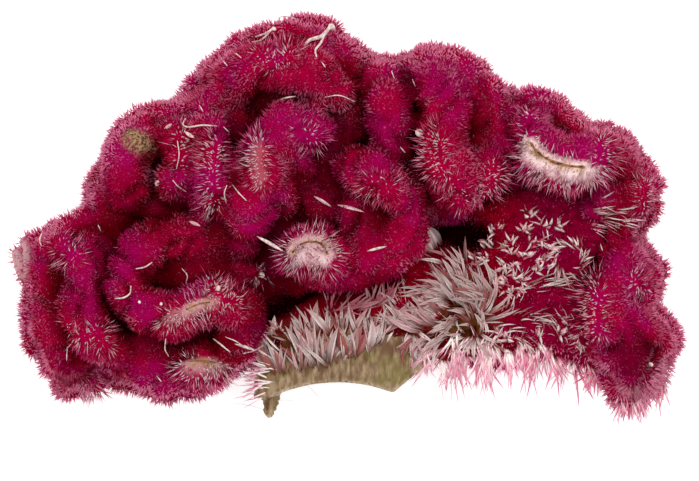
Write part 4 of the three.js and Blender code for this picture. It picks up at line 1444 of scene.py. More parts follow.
@dataclass
class Sprays:
    """Some tepals, gathered one after another before they are laid out.

    Sizes and places are in millimetres and angles in degrees. Blush is how pink a tepal is, and wine how red
    its foot is, from 0 to 1.
    """

    ground: Ground
    random: np.random.Generator
    sunk: float = 0.25
    rows: list[list[float]] = field(default_factory=list)

    def around(self, spread: float) -> float:
        """A random number from minus to plus a spread."""
        return float(self.random.uniform(-spread, spread))

    def add(
        self, root: Sequence[float], heading: float, lean: float, size: tuple[float, float],
        roll: float, bend: float, blush: float, wine: float = 0.0,
    ) -> None:
        """Adds a tepal.

        Args:
            root: Where it grows from, in the plant's own frame.
            heading: The way it points as seen from above, from +X.
            lean: How far it rises from level, or falls if it is below 0.
            size: Its length and its width.
            roll: How far it is turned about its length.
            bend: How far its tip is carried off sideways.
            blush: How pink it is.
            wine: How wine red its foot is.
        """
        turn, rise, spin = (math.radians(angle) for angle in (heading, lean, roll))
        way = Vector((math.cos(turn) * math.cos(rise), math.sin(turn) * math.cos(rise), math.sin(rise)))
        face = Vector((-math.cos(turn) * math.sin(rise), -math.sin(turn) * math.sin(rise), math.cos(rise)))
        face.rotate(Quaternion(way, spin))
        length, width = size
        sizes = (width / 2 * MM, length * MM, length * MM)
        self.rows.append([*placed([root])[0], *way, *face, *sizes, *way.cross(face) * bend * MM, blush, wine])

    def tuft(
        self, root: Sequence[float], count: int, fan: float, lean: float, blush: float, wine: float,
        width: float, bend: float = 0.75, facing: int = 1,
    ) -> None:
        """Adds a few tepals that grow from one place and fan out.

        Args:
            root: The place along X and Y, the heading and the length.
            count: How many there are.
            fan: How far the outer ones turn away.
            lean: How far they rise.
            blush: How pink they are.
            wine: How wine red their feet are.
            width: Their width.
            bend: How far their tips are carried off sideways at most.
            facing: 1 on the face and -1 on the back.
        """
        x, y, heading, length = root
        for n in range(count):
            share = (n + 0.5) / count * 2 - 1
            at = (x + self.around(0.45), y + self.around(0.35))
            height = self.ground.height(*at, facing)
            if height is None:
                continue
            size = (length * (1 + self.around(0.22)), width * (1 + self.around(0.4)))
            self.add(
                (*at, height - self.sunk * facing), heading + fan * share + self.around(11),
                facing * (lean + self.around(13)), size, self.around(48) + (0 if facing > 0 else 180),
                self.around(bend), blush + self.around(0.3), wine,
            )

    def fan(self, fan: Fan) -> None:
        """Adds a fan of tepals."""
        for n in range(fan.count):
            share = (n + 0.5 + self.around(0.4)) / fan.count
            x, y = (a + (b - a) * share + self.around(0.4) for a, b in zip(fan.start, fan.end))
            height = self.ground.height(x, y)
            if height is None:
                continue
            heading = fan.headings[0] + (fan.headings[1] - fan.headings[0]) * share + self.around(14)
            size = (fan.length * (1 + self.around(0.28)), fan.width * (1 + self.around(0.5)))
            self.add(
                (x, y, height - self.sunk), heading, fan.lean + self.around(16), size, self.around(60),
                -fan.bend * (1 + self.around(0.4)), fan.blush + self.around(0.2), fan.wine,
            )

    def ring(self, centre: tuple[float, float], reach: float, count: int, length: float) -> None:
        """Adds a ring of tufts that follow one another round a centre."""
        for n in range(count):
            turn = 2 * math.pi * n / count
            at = [centre[0] + reach * math.cos(turn), centre[1] + reach * math.sin(turn)]
            self.tuft([*at, math.degrees(turn) + 75, length], 6, 22, 24, 0.3, 1.0, 0.3, 1.0)

    def lay_out(self, template: Object, name: str, finish: Material, thin: bool = False) -> Object:
        """Repeats a template for all of them, as thick as wide where they are thin, and dresses it."""
        roots, ways, faces, sizes, bends, marks = np.split(np.array(self.rows), range(3, 18, 3), axis=1)
        if thin:
            sizes[:, 2] = sizes[:, 0]
        blush, wine = marks.clip(0, 1).T
        luck = Seed.TONES.draws().random(len(roots))
        columns = (roots, ways, faces, sizes, bends, {"blush": blush, "wine": wine, "dim": luck})
        piece = scatter(template, name, *columns)
        if thin:
            set_attributes(piece.data, across=np.ones(len(piece.data.vertices)))
        return dress(piece, finish)


# The florets' places: rows of X, Y, the heading in degrees and the length.
LOWER_ROW: Points = (
    [-10, -16.8, 130, 3.8], [-8.8, -17.4, 116, 4.6], [-7.2, -17.9, 106, 4.8], [-5.4, -18, 98, 5],
    [-3.8, -17.8, 94, 5], [-2, -17.4, 92, 4.8], [-0.6, -16.9, 84, 4.6], [0.8, -16.2, 80, 4.4],
    [2.2, -15.4, 72, 4], [3.8, -14.6, 84, 3.4],
)
MIDDLE_ROW: Points = (
    [-8.6, -14, 116, 3.8], [-7, -14, 110, 4], [-5.4, -14.1, 102, 4.2], [-3.8, -14, 94, 4.4],
    [-2.2, -13.9, 88, 4.4], [-0.6, -13.8, 84, 4.2], [1, -13.6, 78, 4], [2.6, -13.6, 72, 3.8],
    [4.2, -13.2, 84, 3.6], [5.6, -13, 100, 3.6],
)
UPPER_ROW: Points = (
    [-2.4, -11.2, 60, 3.2], [-0.8, -11, 40, 3.4], [0.8, -10.8, 34, 3.2], [2.6, -10.4, 60, 3],
    [4.4, -10.2, 82, 3.2],
)


FANS: tuple[Fan, ...] = (
    Fan((9.4, -9.4), (11.8, -8.2), (156, 136), 3.3, 21, 0.51, 26, 1.17, 0.15),
    Fan((10.4, -10.2), (12.2, -9.2), (160, 138), 3.8, 17, 0.47, 36, 0.98, 0.05),
    Fan((9, -11.4), (12.8, -10.6), (176, 150), 3.7, 20, 0.47, 22, -0.98, 0.25),
    Fan((8.8, -13), (12.8, -12.2), (172, 152), 4.4, 22, 0.46, 18, -1.37, 0.3),
    Fan((11.6, -8.8), (13.6, -8.2), (128, 100), 4.2, 19, 0.51, 30, 0.98, 0.1),
    Fan((12.2, -10.2), (14.4, -9.6), (112, 84), 3.6, 14, 0.42, 46, 0.78, 0, 0.1),
    Fan((14, -10.4), (16.2, -9), (100, 84), 4.2, 20, 0.47, 32, 2.73, 0.12),
    Fan((14.6, -11), (16.8, -9.8), (82, 56), 3.4, 19, 0.47, 30, 3.12, 0.1),
    Fan((14.2, -12), (15.8, -11), (48, 12), 3.2, 14, 0.42, 24, 1.95, 0.2),
    Fan((14.6, -12.6), (15.2, -11.6), (-6, 14), 3.8, 8, 0.38, 14, 0.78, 0.3),
    Fan((5.6, -11), (7.2, -10.4), (102, 84), 3.2, 13, 0.55, 28, 0.78, 0.1),
    Fan((8.2, -12.2), (5.2, -12.3), (176, 150), 2.8, 11, 0.51, 16, 0.78, 0, 0),
    Fan((5, -12.8), (7.4, -12.4), (124, 96), 3.2, 11, 0.47, 30, 0.78, 0.1, 0),
    Fan((6, -13.6), (8, -13.8), (275, 240), 3.4, 11, 0.47, 8, 0.98, 0.1, 0),
    Fan((8.2, -13.8), (12.4, -13.6), (206, 190), 3, 22, 0.42, 14, 1.17, 0.2, 0.1),
    Fan((8.6, -15), (12.6, -14.8), (216, 180), 2.8, 20, 0.39, 12, 1.56, 0.2, 0.1),
    Fan((11, -12.6), (15.4, -12.4), (190, 60), 2.4, 28, 0.38, 34, 1.56, 0, 0.1),
    Fan((12.6, -11.6), (14.6, -10.6), (250, -60), 2.2, 22, 0.38, 30, 1.56, 0, 0.1),
    Fan((12, -14.2), (16.6, -13.8), (130, 50), 2.2, 25, 0.38, 24, 1.37, 0.1, 0.1),
    Fan((9.8, -4.4), (10.8, -3.8), (126, 116), 3.4, 4, 0.9, 28, 0.3, 0.1, 0.8),
    Fan((10.6, -5.6), (11.6, -5.2), (154, 146), 3.2, 4, 0.38, 26, 1.17, 0.2, 0.8),
    Fan((13.2, -6.4), (13.8, -6), (116, 104), 3, 5, 0.47, 30, 0.78, 0.15, 0.8),
)
CURLS: tuple[Fan, ...] = (
    Fan((17.6, -11.8), (19, -10.4), (60, 34), 2.8, 10, 0.2, 14, 1.4, 0.15, 0.9),
    Fan((19, -12), (23, -11.4), (76, -40), 2.6, 18, 0.2, 16, -1.4, 0.15, 0.9),
    Fan((20, -12.8), (22.4, -12.4), (84, 0), 1.9, 11, 0.18, 16, -1, 0.15, 0.9),
    Fan((16.6, -13.2), (20, -14), (40, -30), 2.6, 20, 0.22, 14, -0.9, 0.1, 0.8),
    Fan((17, -14.6), (19.8, -14.6), (112, 40), 2, 12, 0.2, 26, 0.7, 0.1, 0.9),
    Fan((17, -7.4), (20, -7.2), (110, 20), 2, 14, 0.2, 26, 0.8, 0.1, 0.9),
    Fan((18, -8.6), (24, -7.8), (12, -4), 3, 20, 0.19, 16, 0.4, 0.1, 0.9),
    Fan((18.6, -7.6), (24.2, -6.9), (18, 2), 2.4, 14, 0.18, 18, 0.5, 0.1, 0.9),
    Fan((23.6, -12.4), (26.8, -11.6), (120, 20), 1.8, 12, 0.18, 26, 1, 0.15, 0.9),
    Fan((23.4, -14.2), (27.6, -14.6), (140, 0), 1.7, 12, 0.18, 26, 1, 0.15, 0.9),
)
FOOT_ROW: Points = (
    [13.2, -13.9, -100, 2.4], [14.8, -13.6, -85, 2.4], [16.2, -14.2, -70, 2.2], [7.4, -13.2, -80, 2.2],
    [6.4, -12.4, 80, 2],
)
# How far up the tips of the lower rows reach: X, and Y for each.
TIP_LINE: Points = ((-10, -7, -5, 0, 4, 8), (-12.6, -12, -10.6, -9.7, -8.6, -5))
TUFTS: Points = (
    [18.4, -14.3, 70, 2.2], [17.2, -13.7, 100, 2.2], [19.8, -14.7, 40, 2], [17.8, -15.2, 60, 2],
    [20.4, -15.4, 50, 1.8], [16.4, -3.4, 104, 2.6], [15.8, -5.4, 128, 2.4], [18.6, -3.2, 128, 2.2],
    [18.5, -4.3, 90, 1.6], [17.8, -6, 95, 1.8], [20.1, -1.6, 60, 1.8], [21.2, -3.1, 30, 1.8],
    [22.2, -2.8, 20, 1.6], [22.6, -1.3, 50, 1.8], [24, -1.1, 20, 1.8], [20.2, -4.5, 40, 1.7],
    [22.6, -5.2, 80, 1.5], [18, -7.6, 120, 1.6], [19, -7.2, 60, 1.6], [20, -7.4, 30, 1.6],
    [18.4, -8.8, 80, 1.6], [19.6, -8.6, 20, 1.6], [17.2, -8, 100, 1.8], [24.9, -12.1, 90, 1.4],
    [24.6, -13.6, 60, 1.6], [21.6, -13.9, 60, 1.6], [28.3, -13, 100, 1.4], [14.2, -4.8, 112, 2.2],
    [17, -1.8, 100, 2], [19.2, -5.6, 150, 1.5], [21.4, -5.9, 10, 1.5], [23.2, -3.6, 30, 1.6],
    [20.6, 0.2, 80, 1.5],
)
BLADES: Points = (
    [27.6, 0.6, -4, 3.2], [28.8, -0.2, -8, 3], [28.2, 1.4, 2, 2.6], [29.6, -0.9, -10, 2.8],
    [30.4, 0.6, 0, 2.6], [27.4, -1, -6, 2.8], [31.2, -0.4, -5, 2.4],
)
FRINGE_LINE: Points = (
    [7.6, -16.4], [12, -15.9], [17, -15.4], [21, -15.9], [25, -16.4], [28.5, -17.8], [31, -19.4],
    [33.6, -20.4], [36.2, -19.4],
)


# Long hairs: the root, the heading, the length and width, and the bend of each.
HAIRS: tuple[tuple[Sequence[float], float, tuple[float, float], float], ...] = (
    ((-9.2, -22.6, 13), 152, (4.4, 0.09), -1.2),
    ((-8.6, -21.4, 13), 20, (2.6, 0.08), 0.9),
    ((-5.2, -19.2, 13), -28, (3.2, 0.09), 1.1),
    ((-8.8, -18, 15), 196, (5.2, 0.1), 0.8),
)


@dataclass
class Florets:
    """The papery florets on the flank and the fringe along its lower edge."""

    edge_tassels: int = 92
    face_tassels: int = 40
    tassel_strands: int = 8
    shag_strands: int = 90
    stalk_strands: int = 110
    random: np.random.Generator = field(default_factory=Seed.FLORETS.draws)

    def face(self, ground: Ground) -> Sprays:
        """Gathers the florets of the face, from the stalk outwards."""
        sprays = Sprays(ground, self.random)
        around = sprays.around
        for row, wide, narrow, wine in ((LOWER_ROW, 0.95, 0.34, 0.0), (MIDDLE_ROW, 0.75, 0.3, 0.2)):
            for x, y, heading, length in row:
                length = min(length, max(float(np.interp(x, *TIP_LINE)) - y, 0.8))
                root = (x + around(0.4), y + around(0.7), heading + around(14), length)
                sprays.tuft(root, 4, 24, 18, 0.0, wine, wide, 1.1)
                root = (x + around(0.5), y + around(0.5), heading + around(10), length * 0.95)
                sprays.tuft(root, 5, 30, 26, 0.0, wine, narrow, 1.1)
        for root in UPPER_ROW:
            sprays.tuft(root, 16, 32, 28, 0.75, 0.9, 0.2)
        for root in FOOT_ROW:
            sprays.tuft(root, 8, 55, 24, -0.2, 0.0, 0.42)
        for fan in FANS:
            sprays.fan(fan)
        return sprays

    def curls(self, ground: Ground, crest: Ground) -> Sprays:
        """Gathers the thin, curled strands of the small florets on the red tissue."""
        sprays = Sprays(ground, self.random)
        for fan in CURLS:
            sprays.fan(fan)
        for x, y, heading, length in TUFTS:
            if (crest.height(x, y) or 0) < (ground.height(x, y) or FAR) + 1.2:
                sprays.tuft([x, y, heading, length * 0.62], 9, 100, 40, 0.3, 0.6, 0.46, 1.4)
        sprays.ring((25.4, -4.9), 1.5, 12, 1.9)
        sprays.ring((27, -14.1), 0.6, 7, 1.1)
        return sprays

    def back(self, ground: Ground) -> Sprays:
        """Gathers the florets of the back, which point away from the stalk."""
        sprays = Sprays(ground, self.random)
        for y in np.arange(-15.8, 0.5, 1.9):
            for x in np.arange(-8.5, 27.5, 2.1):
                at = (x + sprays.around(0.8), y + sprays.around(0.7))
                heading = math.degrees(math.atan2(at[1] + 18, at[0]))
                sprays.tuft([*at, heading, 3.6], 2, 16, 18, 0.25, 0.6, 0.92, facing=-1)
        return sprays

    def blades(self, ground: Ground) -> Sprays:
        """Gathers the long silvery blades beside the right edge's folds."""
        sprays = Sprays(ground, self.random)
        for root in BLADES:
            sprays.tuft(root, 6, 16, 14, 0.35, 1.0, 0.19)
        return sprays

    def fringe(self, ground: Ground) -> Sprays:
        """Gathers the narrow tepals of the fringe, which hang over the flank's lower edge."""
        random = Seed.FRINGE.draws()
        sprays = Sprays(ground, random)
        for _ in range(self.shag_strands):
            root = (random.uniform(31.2, 34.8), random.uniform(-22, -20.6), random.uniform(7, 14))
            size = (random.uniform(1.2, 2.5), random.uniform(0.12, 0.24))
            heading, lean = random.normal(-94, 10), random.normal(0, 8)
            sprays.add(root, heading, lean, size, 0, random.uniform(-0.5, 0.5), 0.4)
        for n in range(self.edge_tassels + self.face_tassels):
            self.tassel(sprays, n >= self.edge_tassels)
        return sprays

    def tassel(self, sprays: Sprays, on_face: bool) -> None:
        """Adds one tassel of the fringe, at a random place along the edge or on the face above it."""
        random, ground = sprays.random, sprays.ground
        x = float(random.uniform(8.4 if on_face else 7.4, 31 if on_face else 36.2))
        x += 0 if on_face else 0.21 * math.sin(3.9 * x)
        y = float(np.interp(x, *np.array(FRINGE_LINE).T)) + random.uniform(-0.4, 0.6)
        heading = -92 + (x - 18) * 1.1 + 14 * math.sin(x * 1.7) + random.normal(0, 14)
        if x > 20 and random.random() < 0.35:
            return
        length = 2.2 + 3.0 * random.random() ** 1.4
        y += 0.7 * random.random() - 0.2
        height, lean = random.uniform(9, (ground.height(x, y) or 14.6) + 0.2), random.normal(0, 8)
        lean += (height - 12.2) * 3
        if on_face:
            y += 0.1 + 2.2 * random.random() ** 1.2
            heading += random.normal(0, 18)
            length, lean = random.uniform(2.4, 3.8), random.normal(6, 6)
        length *= 0.75 if x > 29 else 1
        far = float(np.interp(x, (16, 24), (0, 1)))
        blush = random.uniform(-0.6, 0.45) + 0.35 * far
        wine = float(x > 13 and (on_face or random.random() < far))
        for _ in range(self.tassel_strands):
            at = (x + random.uniform(-0.4, 0.4), y + random.uniform(-0.4, 0.4))
            if on_face:
                height = (ground.height(*at) or 12.4) - 0.2
            sprays.add(
                (*at, height + random.uniform(-0.3, 0.3)), heading + random.normal(0, 11),
                lean + random.normal(0, 7), (length * random.uniform(0.45, 1.2), random.uniform(0.14, 0.36)),
                random.uniform(-90, 90), random.uniform(-0.9, 0.9), blush + random.normal(0, 0.15), wine,
            )

    def strands(self, ground: Ground) -> Sprays:
        """Gathers the pale strands at the left end of the stalk, and a few long hairs below it."""
        random = Seed.FRINGE.draws()
        sprays = Sprays(ground, random)
        for share in np.linspace(0, 1, self.stalk_strands):
            x, y = -8.2 + random.normal(0, 0.4), -15.6 - 4.2 * share + random.normal(0, 0.3)
            root, heading = (x, y, random.uniform(12, 17.2)), 136 + 62 * share + random.normal(0, 9)
            size = (random.uniform(2.2, 4.9), random.uniform(0.16, 0.36))
            sprays.add(
                root, heading, random.normal(4, 8), size, random.uniform(-90, 90), random.uniform(-0.7, 0.7),
                random.uniform(-0.8, 0.15),
            )
        for root, heading, size, bend in HAIRS:
            sprays.add(root, heading, 3, size, 0, bend, 0.3)
        return sprays


# ---- The stalk ----


@dataclass
class Stalk:
    """The flattened stalk with its hollow cut and the torn strip at the cut's left end."""

    outline: Points = (
        [-11, -23], [8, -23], [9.4, -17], [8, -13.4], [5, -10.6], [-4, -11], [-8, -14.2], [-10.6, -18.4],
    )
    low: float = 8.2
    high: float = 16.8
    bevel: float = 2.6
    strip: Points = ([-8.1, -18.4, 12, 1.4], [-8.75, -20.4, 12.4, 0.98], [-9.1, -22.7, 13, 0.68])
    cut_from: tuple[float, float] = (-9.4, -21)
    cut_middle: tuple[float, float] = (-2, -17.6)
    cut_to: tuple[float, float] = (5.2, -20.3)
    cut_corner: tuple[float, float] = (10.4, -16)
    cut_reach: float = 40
    voxel: float = 0.25
    smoothing: int = 2
    fibres: tuple[float, float, float] = (-38, 260, 0.09)

    def cut_line(self) -> np.ndarray:
        """Points along the hollow arc and on to its slanting corner."""
        share = np.linspace(0, 1, 17)[:, None]
        first, middle, last = (np.array(p) for p in (self.cut_from, self.cut_middle, self.cut_to))
        arc = (1 - share) ** 2 * first + 2 * share * (1 - share) * middle + share**2 * last
        return np.vstack([arc, self.cut_corner])

    def build(self, finish: Material) -> Object:
        """Cuts the stalk out of its slab, joins the strip to it and raises its fibres.

        Args:
            finish: The stalk's material.

        Returns:
            The stalk, with "cut" stored along its cut edge and "streak" along the strip's brown line.
        """
        bm = bmesh.new()
        slab(bm, self.outline, self.low, self.high)
        round_rims(bm, self.bevel)
        piece = object_of(bm, "stalk_skin")
        far = self.cut_reach
        away = bmesh.new()
        slab(away, [[-far, self.cut_from[1]], *self.cut_line().tolist(), [far, -far], [-far, -far]], 0, far)
        cutter = object_of(away, "stalk_cutter")
        cut = piece.modifiers.new("cut", "BOOLEAN")
        cut.operation, cut.solver, cut.object = "DIFFERENCE", "EXACT", cutter
        apply_modifiers(piece)
        bpy.data.meshes.remove(cutter.data)
        joined = bmesh.new()
        joined.from_mesh(piece.data)
        rows = smooth_line(self.strip, 0.4)
        sweep(joined, np.column_stack([placed(rows[:, :3]), rows[:, 3] * MM]))
        bmesh.ops.recalc_face_normals(joined, faces=joined.faces)
        joined.to_mesh(piece.data)
        joined.free()
        remesh(piece, self.voxel, self.smoothing)
        self.carve(piece.data)
        return dress(piece, finish)

    def carve(self, mesh: Mesh) -> None:
        """Raises fibres that fan out from below, and marks the cut edge and the strip."""
        places, outward = coordinates(mesh), normals(mesh)
        own_x, own_y = in_own_frame(places).T
        _, gap, _ = from_line(places, placed(with_height(self.cut_line())))
        foot, often, depth = self.fibres
        angle = np.arctan2(own_y - foot, own_x)
        wander = shade_noise(places * np.array([1, 0.2, 1]), 0.9, 3)
        ridges = np.sin(angle * often + 5 * wander) + 1.2 * wander
        pits = shade_noise(places, 1.6, 9)
        calm = np.clip(gap / (0.5 * MM), 0.15, 1)
        places += outward * ((ridges * depth + pits * 0.2) * calm)[:, None] * MM
        set_coordinates(mesh, places)
        on_strip = clamp((-20.4 - own_y) * 2) * (own_x < -7.6)
        tip = clamp((-22.2 - own_y) * 1.6) * on_strip
        streak = clamp(1 - np.abs(own_x + 9.25) / 0.32) * on_strip * clamp((own_y + 22.9) * 2)
        roots = clamp(0.4 + 2.6 * shade_noise(places * np.array([1, 0.35, 1]), 0.8, 21))
        roots *= np.clip((own_y + 19.5 - 0.4 * own_x.clip(0, 8)) / 2.2, 0, 0.9)
        rind = np.abs(places[:, 2] / MM - (self.low + self.high) / 2) / (self.high - self.low) * 2.4 - 0.4
        set_attributes(
            mesh, cut=clamp(np.maximum(1 - gap / (0.4 * MM), tip)),
            streak=np.maximum(streak, roots * (np.abs(outward[:, 2]) > 0.3)),
            rind=clamp(rind) * (np.abs(outward[:, 2]) < 0.6),
        )


# ---- What strayed onto the head ----








# The threads that lie on the head, by their width: their lines as seen from above.
THREADS: dict[float, Sequence[Points]] = {
    0.21: (
        [[-18.6, 11.2], [-18.9, 10.5], [-18.2, 10.2], [-16.6, 10.4], [-15, 10.3]],
        [[-8.7, 21.4], [-9.2, 20.9], [-10, 20.2], [-11, 20]],
        [[-24.8, -8], [-24.9, -8.8], [-25.6, -9.3], [-26.6, -9.4]],
        [[-22.4, -5.3], [-23.2, -5.8], [-24.2, -6]], [[-8.4, 13], [-7.2, 13.5], [-6, 13.7]],
        [[-15.4, -14], [-14.6, -14.6], [-13.5, -15.5]], [[-35.2, -2], [-35.4, -2.7], [-35.2, -3.4]],
    ),
    0.14: (
        [[-20, 4.1], [-19.4, 3.4], [-18.5, 2.8]], [[-19.5, 8.6], [-19.3, 7], [-19.6, 5.4]],
        [[-13.2, 3.6], [-12.4, 2.6], [-11.6, 1.8]], [[-13.8, 3.5], [-14.1, 2.6], [-13.9, 1.5]],
        [[-8, 23], [-7, 23.1], [-6, 22.8]], [[-3, 17.6], [-2.6, 17]], [[-12.8, 18.6], [-12.2, 18.1]],
        [[-14.3, 17.8], [-13.8, 17.2]], [[-2.6, 13.6], [-1, 13.8], [0.8, 13.1]],
        [[-19, -6], [-18.4, -6.8], [-18.6, -7.8]], [[-14, -13.8], [-12.8, -14.3], [-11.8, -15]],
        [[-12, -15.7], [-10.8, -15.4], [-9.7, -14.8]], [[-20.8, -14], [-20.9, -15.2], [-20.5, -16]],
        [[5, 16.6], [5.3, 15.8]], [[7.4, 15.7], [7.7, 14.9]], [[6, 7.9], [6.5, 7.3]],
        [[26.3, 11.3], [26.9, 10.7]], [[33.1, 8.2], [33.4, 7.4]], [[-28.7, -1], [-28.4, -1.7]],
        [[-17, 12.7], [-16.6, 12]], [[-14.2, 10.2], [-13.6, 9.6]], [[29, -3.2], [29.2, -3.9]],
        [[-21.9, -18.3], [-21.4, -18.9]], [[-32.2, -15], [-32.3, -16.5]],
    ),
    0.5: ([[-1.9, 22], [-2.5, 21.2], [-3.1, 20.6], [-4.4, 20.2], [-4.9, 19.6]],),
    0.26: ([[-2.6, 21], [-3.1, 19.8], [-3.7, 19], [-3.6, 18.2]], [[-8.6, 21.6], [-9.4, 21], [-10.6, 20.6]]),
}
# Seeds: rows of X, Y and the width.
SEEDS: Points = (
    [-8.5, 21.5, 0.6], [-21.8, 3.8, 0.75], [-1.9, 21.8, 1], [8.2, 9.5, 1.15], [-23.8, -9.8, 0.42],
    [-21.3, -10, 0.42], [34.8, -17, 0.6], [-9.9, -6.7, 0.8], [-14.8, -8.2, 0.7],
)
# Scales: rows of X and Y at both ends, the width and the blush.
SCALES: Points = (
    [-10.4, -2.3, -7.1, -4, 0.4, 0], [-3.9, 2.3, -1.8, 1.2, 0.36, 0.35], [-1.2, 1.3, 1.9, 0.6, 0.38, 0.35],
    [2.2, -4, 4.4, -3.3, 0.3, 0.1], [-17.6, 9, -18.8, 9.6, 0.42, 0.2], [-20.2, 10.6, -21, 9.9, 0.4, 0.1],
    [-18.2, -0.6, -16.8, -1, 0.4, 0.6], [-12.9, -14.6, -10.4, -15.3, 0.34, 0],
)


@dataclass
class Strays:
    """The pale threads, scales and seeds that lie on the head, and the dry creases in it."""

    above: float = 0.62
    dip: float = 0.15
    level: float = 12.0
    spacing: float = 0.25
    steepest: float = 0.25
    seed_size: tuple[float, float, float] = (1, 0.8, 0.45)
    random: np.random.Generator = field(default_factory=Seed.STRAYS.draws)

    def rows(self, ground: Ground, line: Points, above: float) -> np.ndarray:
        """A line's samples, laid a distance above the ground and eased over its dips."""
        flat = smooth_line(np.column_stack([np.array(line, float), np.zeros(len(line))]), self.spacing)
        heights = np.array([ground.height(x, y) or np.nan for x, y, _ in flat])
        if np.isnan(heights).all():
            heights[:] = self.level
        heights = np.where(np.isnan(heights), np.nanmean(heights), heights)
        eased = heights.copy()
        for _ in range(6):
            eased[1:-1] = (eased[:-2] + eased[2:]) / 2
            eased = np.maximum(eased, heights)
        steps = np.abs(np.subtract.outer(np.arange(len(eased)), np.arange(len(eased))))
        flat[:, 2] = (eased - self.steepest * steps).max(axis=1) + above
        return flat

    def build_threads(self, ground: Ground, finish: Material) -> Object:
        """Makes the threads, which thin out towards their ends, and the seeds."""
        bm = bmesh.new()
        for width, lines in THREADS.items():
            for line in lines:
                rows = self.rows(ground, line, self.above)
                share = np.linspace(0, 1, len(rows))
                radius = width / 2 * (0.35 + 0.65 * np.sin(math.pi * (0.15 + 0.7 * share)))
                sweep(bm, np.column_stack([placed(rows), radius * MM]), 6)
        for x, y, width in SEEDS:
            centre = placed([[x, y, (ground.height(x, y) or self.level) + self.above]])[0]
            turn = Quaternion(UP, self.random.uniform(0, math.pi))
            place = Matrix.LocRotScale(Vector(centre), turn, Vector(self.seed_size) * width / 2 * MM)
            bmesh.ops.create_icosphere(bm, subdivisions=2, radius=1, matrix=place)
        return dress(object_of(bm, "stray_threads"), finish)

    def build_scales(self, ground: Ground, finish: Material) -> Object:
        """Makes the flat scales."""
        sprays = Sprays(ground, self.random)
        for x, y, end_x, end_y, width, blush in SCALES:
            rows = self.rows(ground, [[x, y], [end_x, end_y]], self.above)
            way = rows[-1] - rows[0]
            heading = math.degrees(math.atan2(way[1], way[0]))
            lean = math.degrees(math.atan2(way[2], math.hypot(way[0], way[1])))
            size = (float(np.linalg.norm(way)), width)
            sprays.add(rows[0], heading, lean, size, sprays.around(20), 0.15, blush)
        return sprays.lay_out(blade(6, 0.03, -0.02, 0.45, 0.02), "stray_scales", finish)

    def build_creases(self, ground: Ground, finish: Material) -> Object:
        """Makes the brown creases along the partings that have one."""
        bm = bmesh.new()
        for parting in PARTINGS.values():
            if parting.crease:
                rows = self.rows(ground, parting.line, self.dip)
                radius = parting.crease * (0.6 + 0.4 * self.random.random(len(rows)))
                sweep(bm, np.column_stack([placed(rows), radius * MM]), 6)
        return dress(object_of(bm, "dry_creases"), finish)


# ---- The studio ----


@dataclass
class Studio:
    """The pale floor, the soft light and the camera, which looks straight down."""

    centre: tuple[float, float] = (0.43, -2.84)
    view_width: float = 80.74
    level: float = 12.5
    lens: float = 500
    sensor: float = 36
    floor: float = 1.6
    light_height: float = 0.7
    light_size: float = 0.55
    light_power: float = 3.5
    surroundings: float = 0.5
    light_shift: float = 0.12
    white: Colour = (1, 1, 1, 1)
    floor_shade: Colour = (0.93, 0.93, 0.93, 1)

    def build(self) -> None:
        """Sets up the floor, the lights, the world and the camera."""
        self.build_floor()
        self.build_lights()
        self.build_camera()

    def build_floor(self) -> None:
        """Makes the floor, which glows a little, as a lit table does."""
        bm = bmesh.new()
        bmesh.ops.create_grid(bm, x_segments=1, y_segments=1, size=self.floor / 2)
        floor = object_of(bm, "floor")
        tree = Tree("pale floor", 0.9, 0.1)
        tree.glow(self.white, 0.6)
        floor.data.materials.append(tree.finish(self.floor_shade))

    def build_lights(self) -> None:
        """Hangs a wide soft light overhead and sets the pale world."""
        lamp = bpy.data.lights.new("overhead", "AREA")
        lamp.energy, lamp.size = self.light_power, self.light_size
        light = bpy.data.objects.new("overhead", lamp)
        light.location = (0, self.light_shift, self.light_height)
        light.rotation_euler = (-math.atan2(self.light_shift, self.light_height), 0, 0)
        bpy.context.scene.collection.objects.link(light)
        world = bpy.data.worlds.new("pale surroundings")
        world.use_nodes = True
        background = world.node_tree.nodes["Background"]
        background.inputs["Color"].default_value = self.white
        background.inputs["Strength"].default_value = self.surroundings
        bpy.context.scene.world = world
        bpy.context.scene.view_settings.view_transform = "Standard"

    def build_camera(self) -> None:
        """Places the camera so that the view's width at the head's middle level is right."""
        data = bpy.data.cameras.new("camera")
        data.lens, data.sensor_width, data.clip_end = self.lens, self.sensor, 10
        camera = bpy.data.objects.new("camera", data)
        distance = self.view_width * self.lens / self.sensor
        camera.location = (self.centre[0] * MM, self.centre[1] * MM, (self.level + distance) * MM)
        bpy.context.scene.collection.objects.link(camera)
        bpy.context.scene.camera = camera


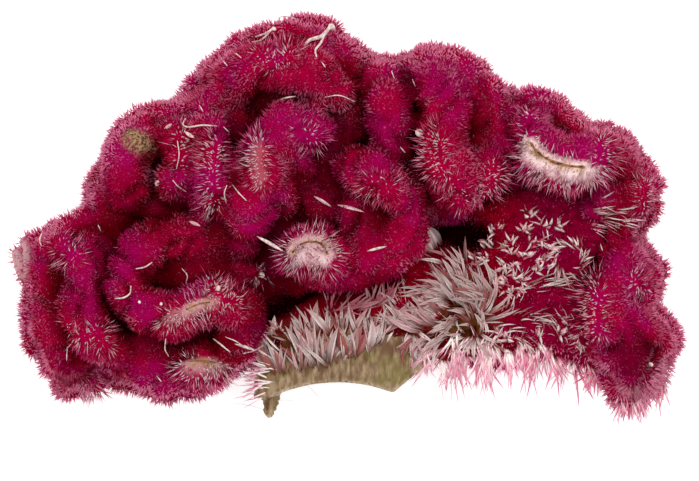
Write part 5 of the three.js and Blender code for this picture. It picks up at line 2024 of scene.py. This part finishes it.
def adopt(piece: Object, slot: str, *nodes: str) -> None:
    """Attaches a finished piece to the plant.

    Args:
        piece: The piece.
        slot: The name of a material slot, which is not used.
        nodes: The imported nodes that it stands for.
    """
    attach(piece, BODY)
    if nodes:
        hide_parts(*nodes)
    piece.data.calc_loop_triangles()
    log.info("%s: %d triangles", piece.name, len(piece.data.loop_triangles))


def main() -> None:
    """Builds the head's pieces in order and dresses them."""
    logging.basicConfig(level=logging.INFO, format="%(name)s: %(message)s")
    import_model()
    velvet, paper, chaff = Velvet(), Paper(), Chaff()

    crest = CrestTissue().build(velvet.tissue())
    adopt(crest, "crest", "crest")
    flank = Flank().build(paper.flank())
    adopt(flank, "florets", "florets")
    stalk = Stalk().build(Stem().stalk())
    adopt(stalk, "stalk", "stalk")
    # The flank's openness under the crest, which its finish turns into painted shade.
    set_attributes(flank.data, open=Sky().open_with_painted_light(flank.data, crest.data))

    flank_ground, crest_ground, head_ground = Ground(flank, stalk), Ground(crest), Ground(crest, flank)
    bristles = velvet.pile()
    flank_pile = Pile(name="flank_pile", face_density=5.5, back_density=2, length=(0.7, 0.8))
    for pile, tissue in ((Pile(), crest), (flank_pile, flank)):
        for piece in pile.build(tissue, head_ground, bristles):
            adopt(piece, "crest")

    florets, tepals, pink = Florets(), paper.tepals(), paper.fringe()
    shape = (5, 0.05, 0.14, 0.48, 0.014)
    adopt(florets.face(flank_ground).lay_out(blade(*shape), "florets_face", tepals), "florets")
    curls = florets.curls(flank_ground, crest_ground)
    adopt(curls.lay_out(spindle(4), "floret_curls", tepals, thin=True), "florets")
    adopt(florets.back(flank_ground).lay_out(blade(*shape), "florets_back", tepals), "florets")
    for sprays, name, finish in (
        (florets.blades(head_ground), "silver_blades", tepals),
        (florets.fringe(flank_ground), "pink_fringe", pink),
        (florets.strands(flank_ground), "pale_strands", pink),
    ):
        adopt(sprays.lay_out(spindle(4), name, finish, thin=True), "florets")

    strays, pale = Strays(), chaff.strays()
    adopt(strays.build_threads(head_ground, pale), "florets")
    adopt(strays.build_scales(head_ground, pale), "florets")
    adopt(strays.build_creases(head_ground, chaff.creases()), "florets")

    Studio().build()


if __name__ == "__main__":
    main()
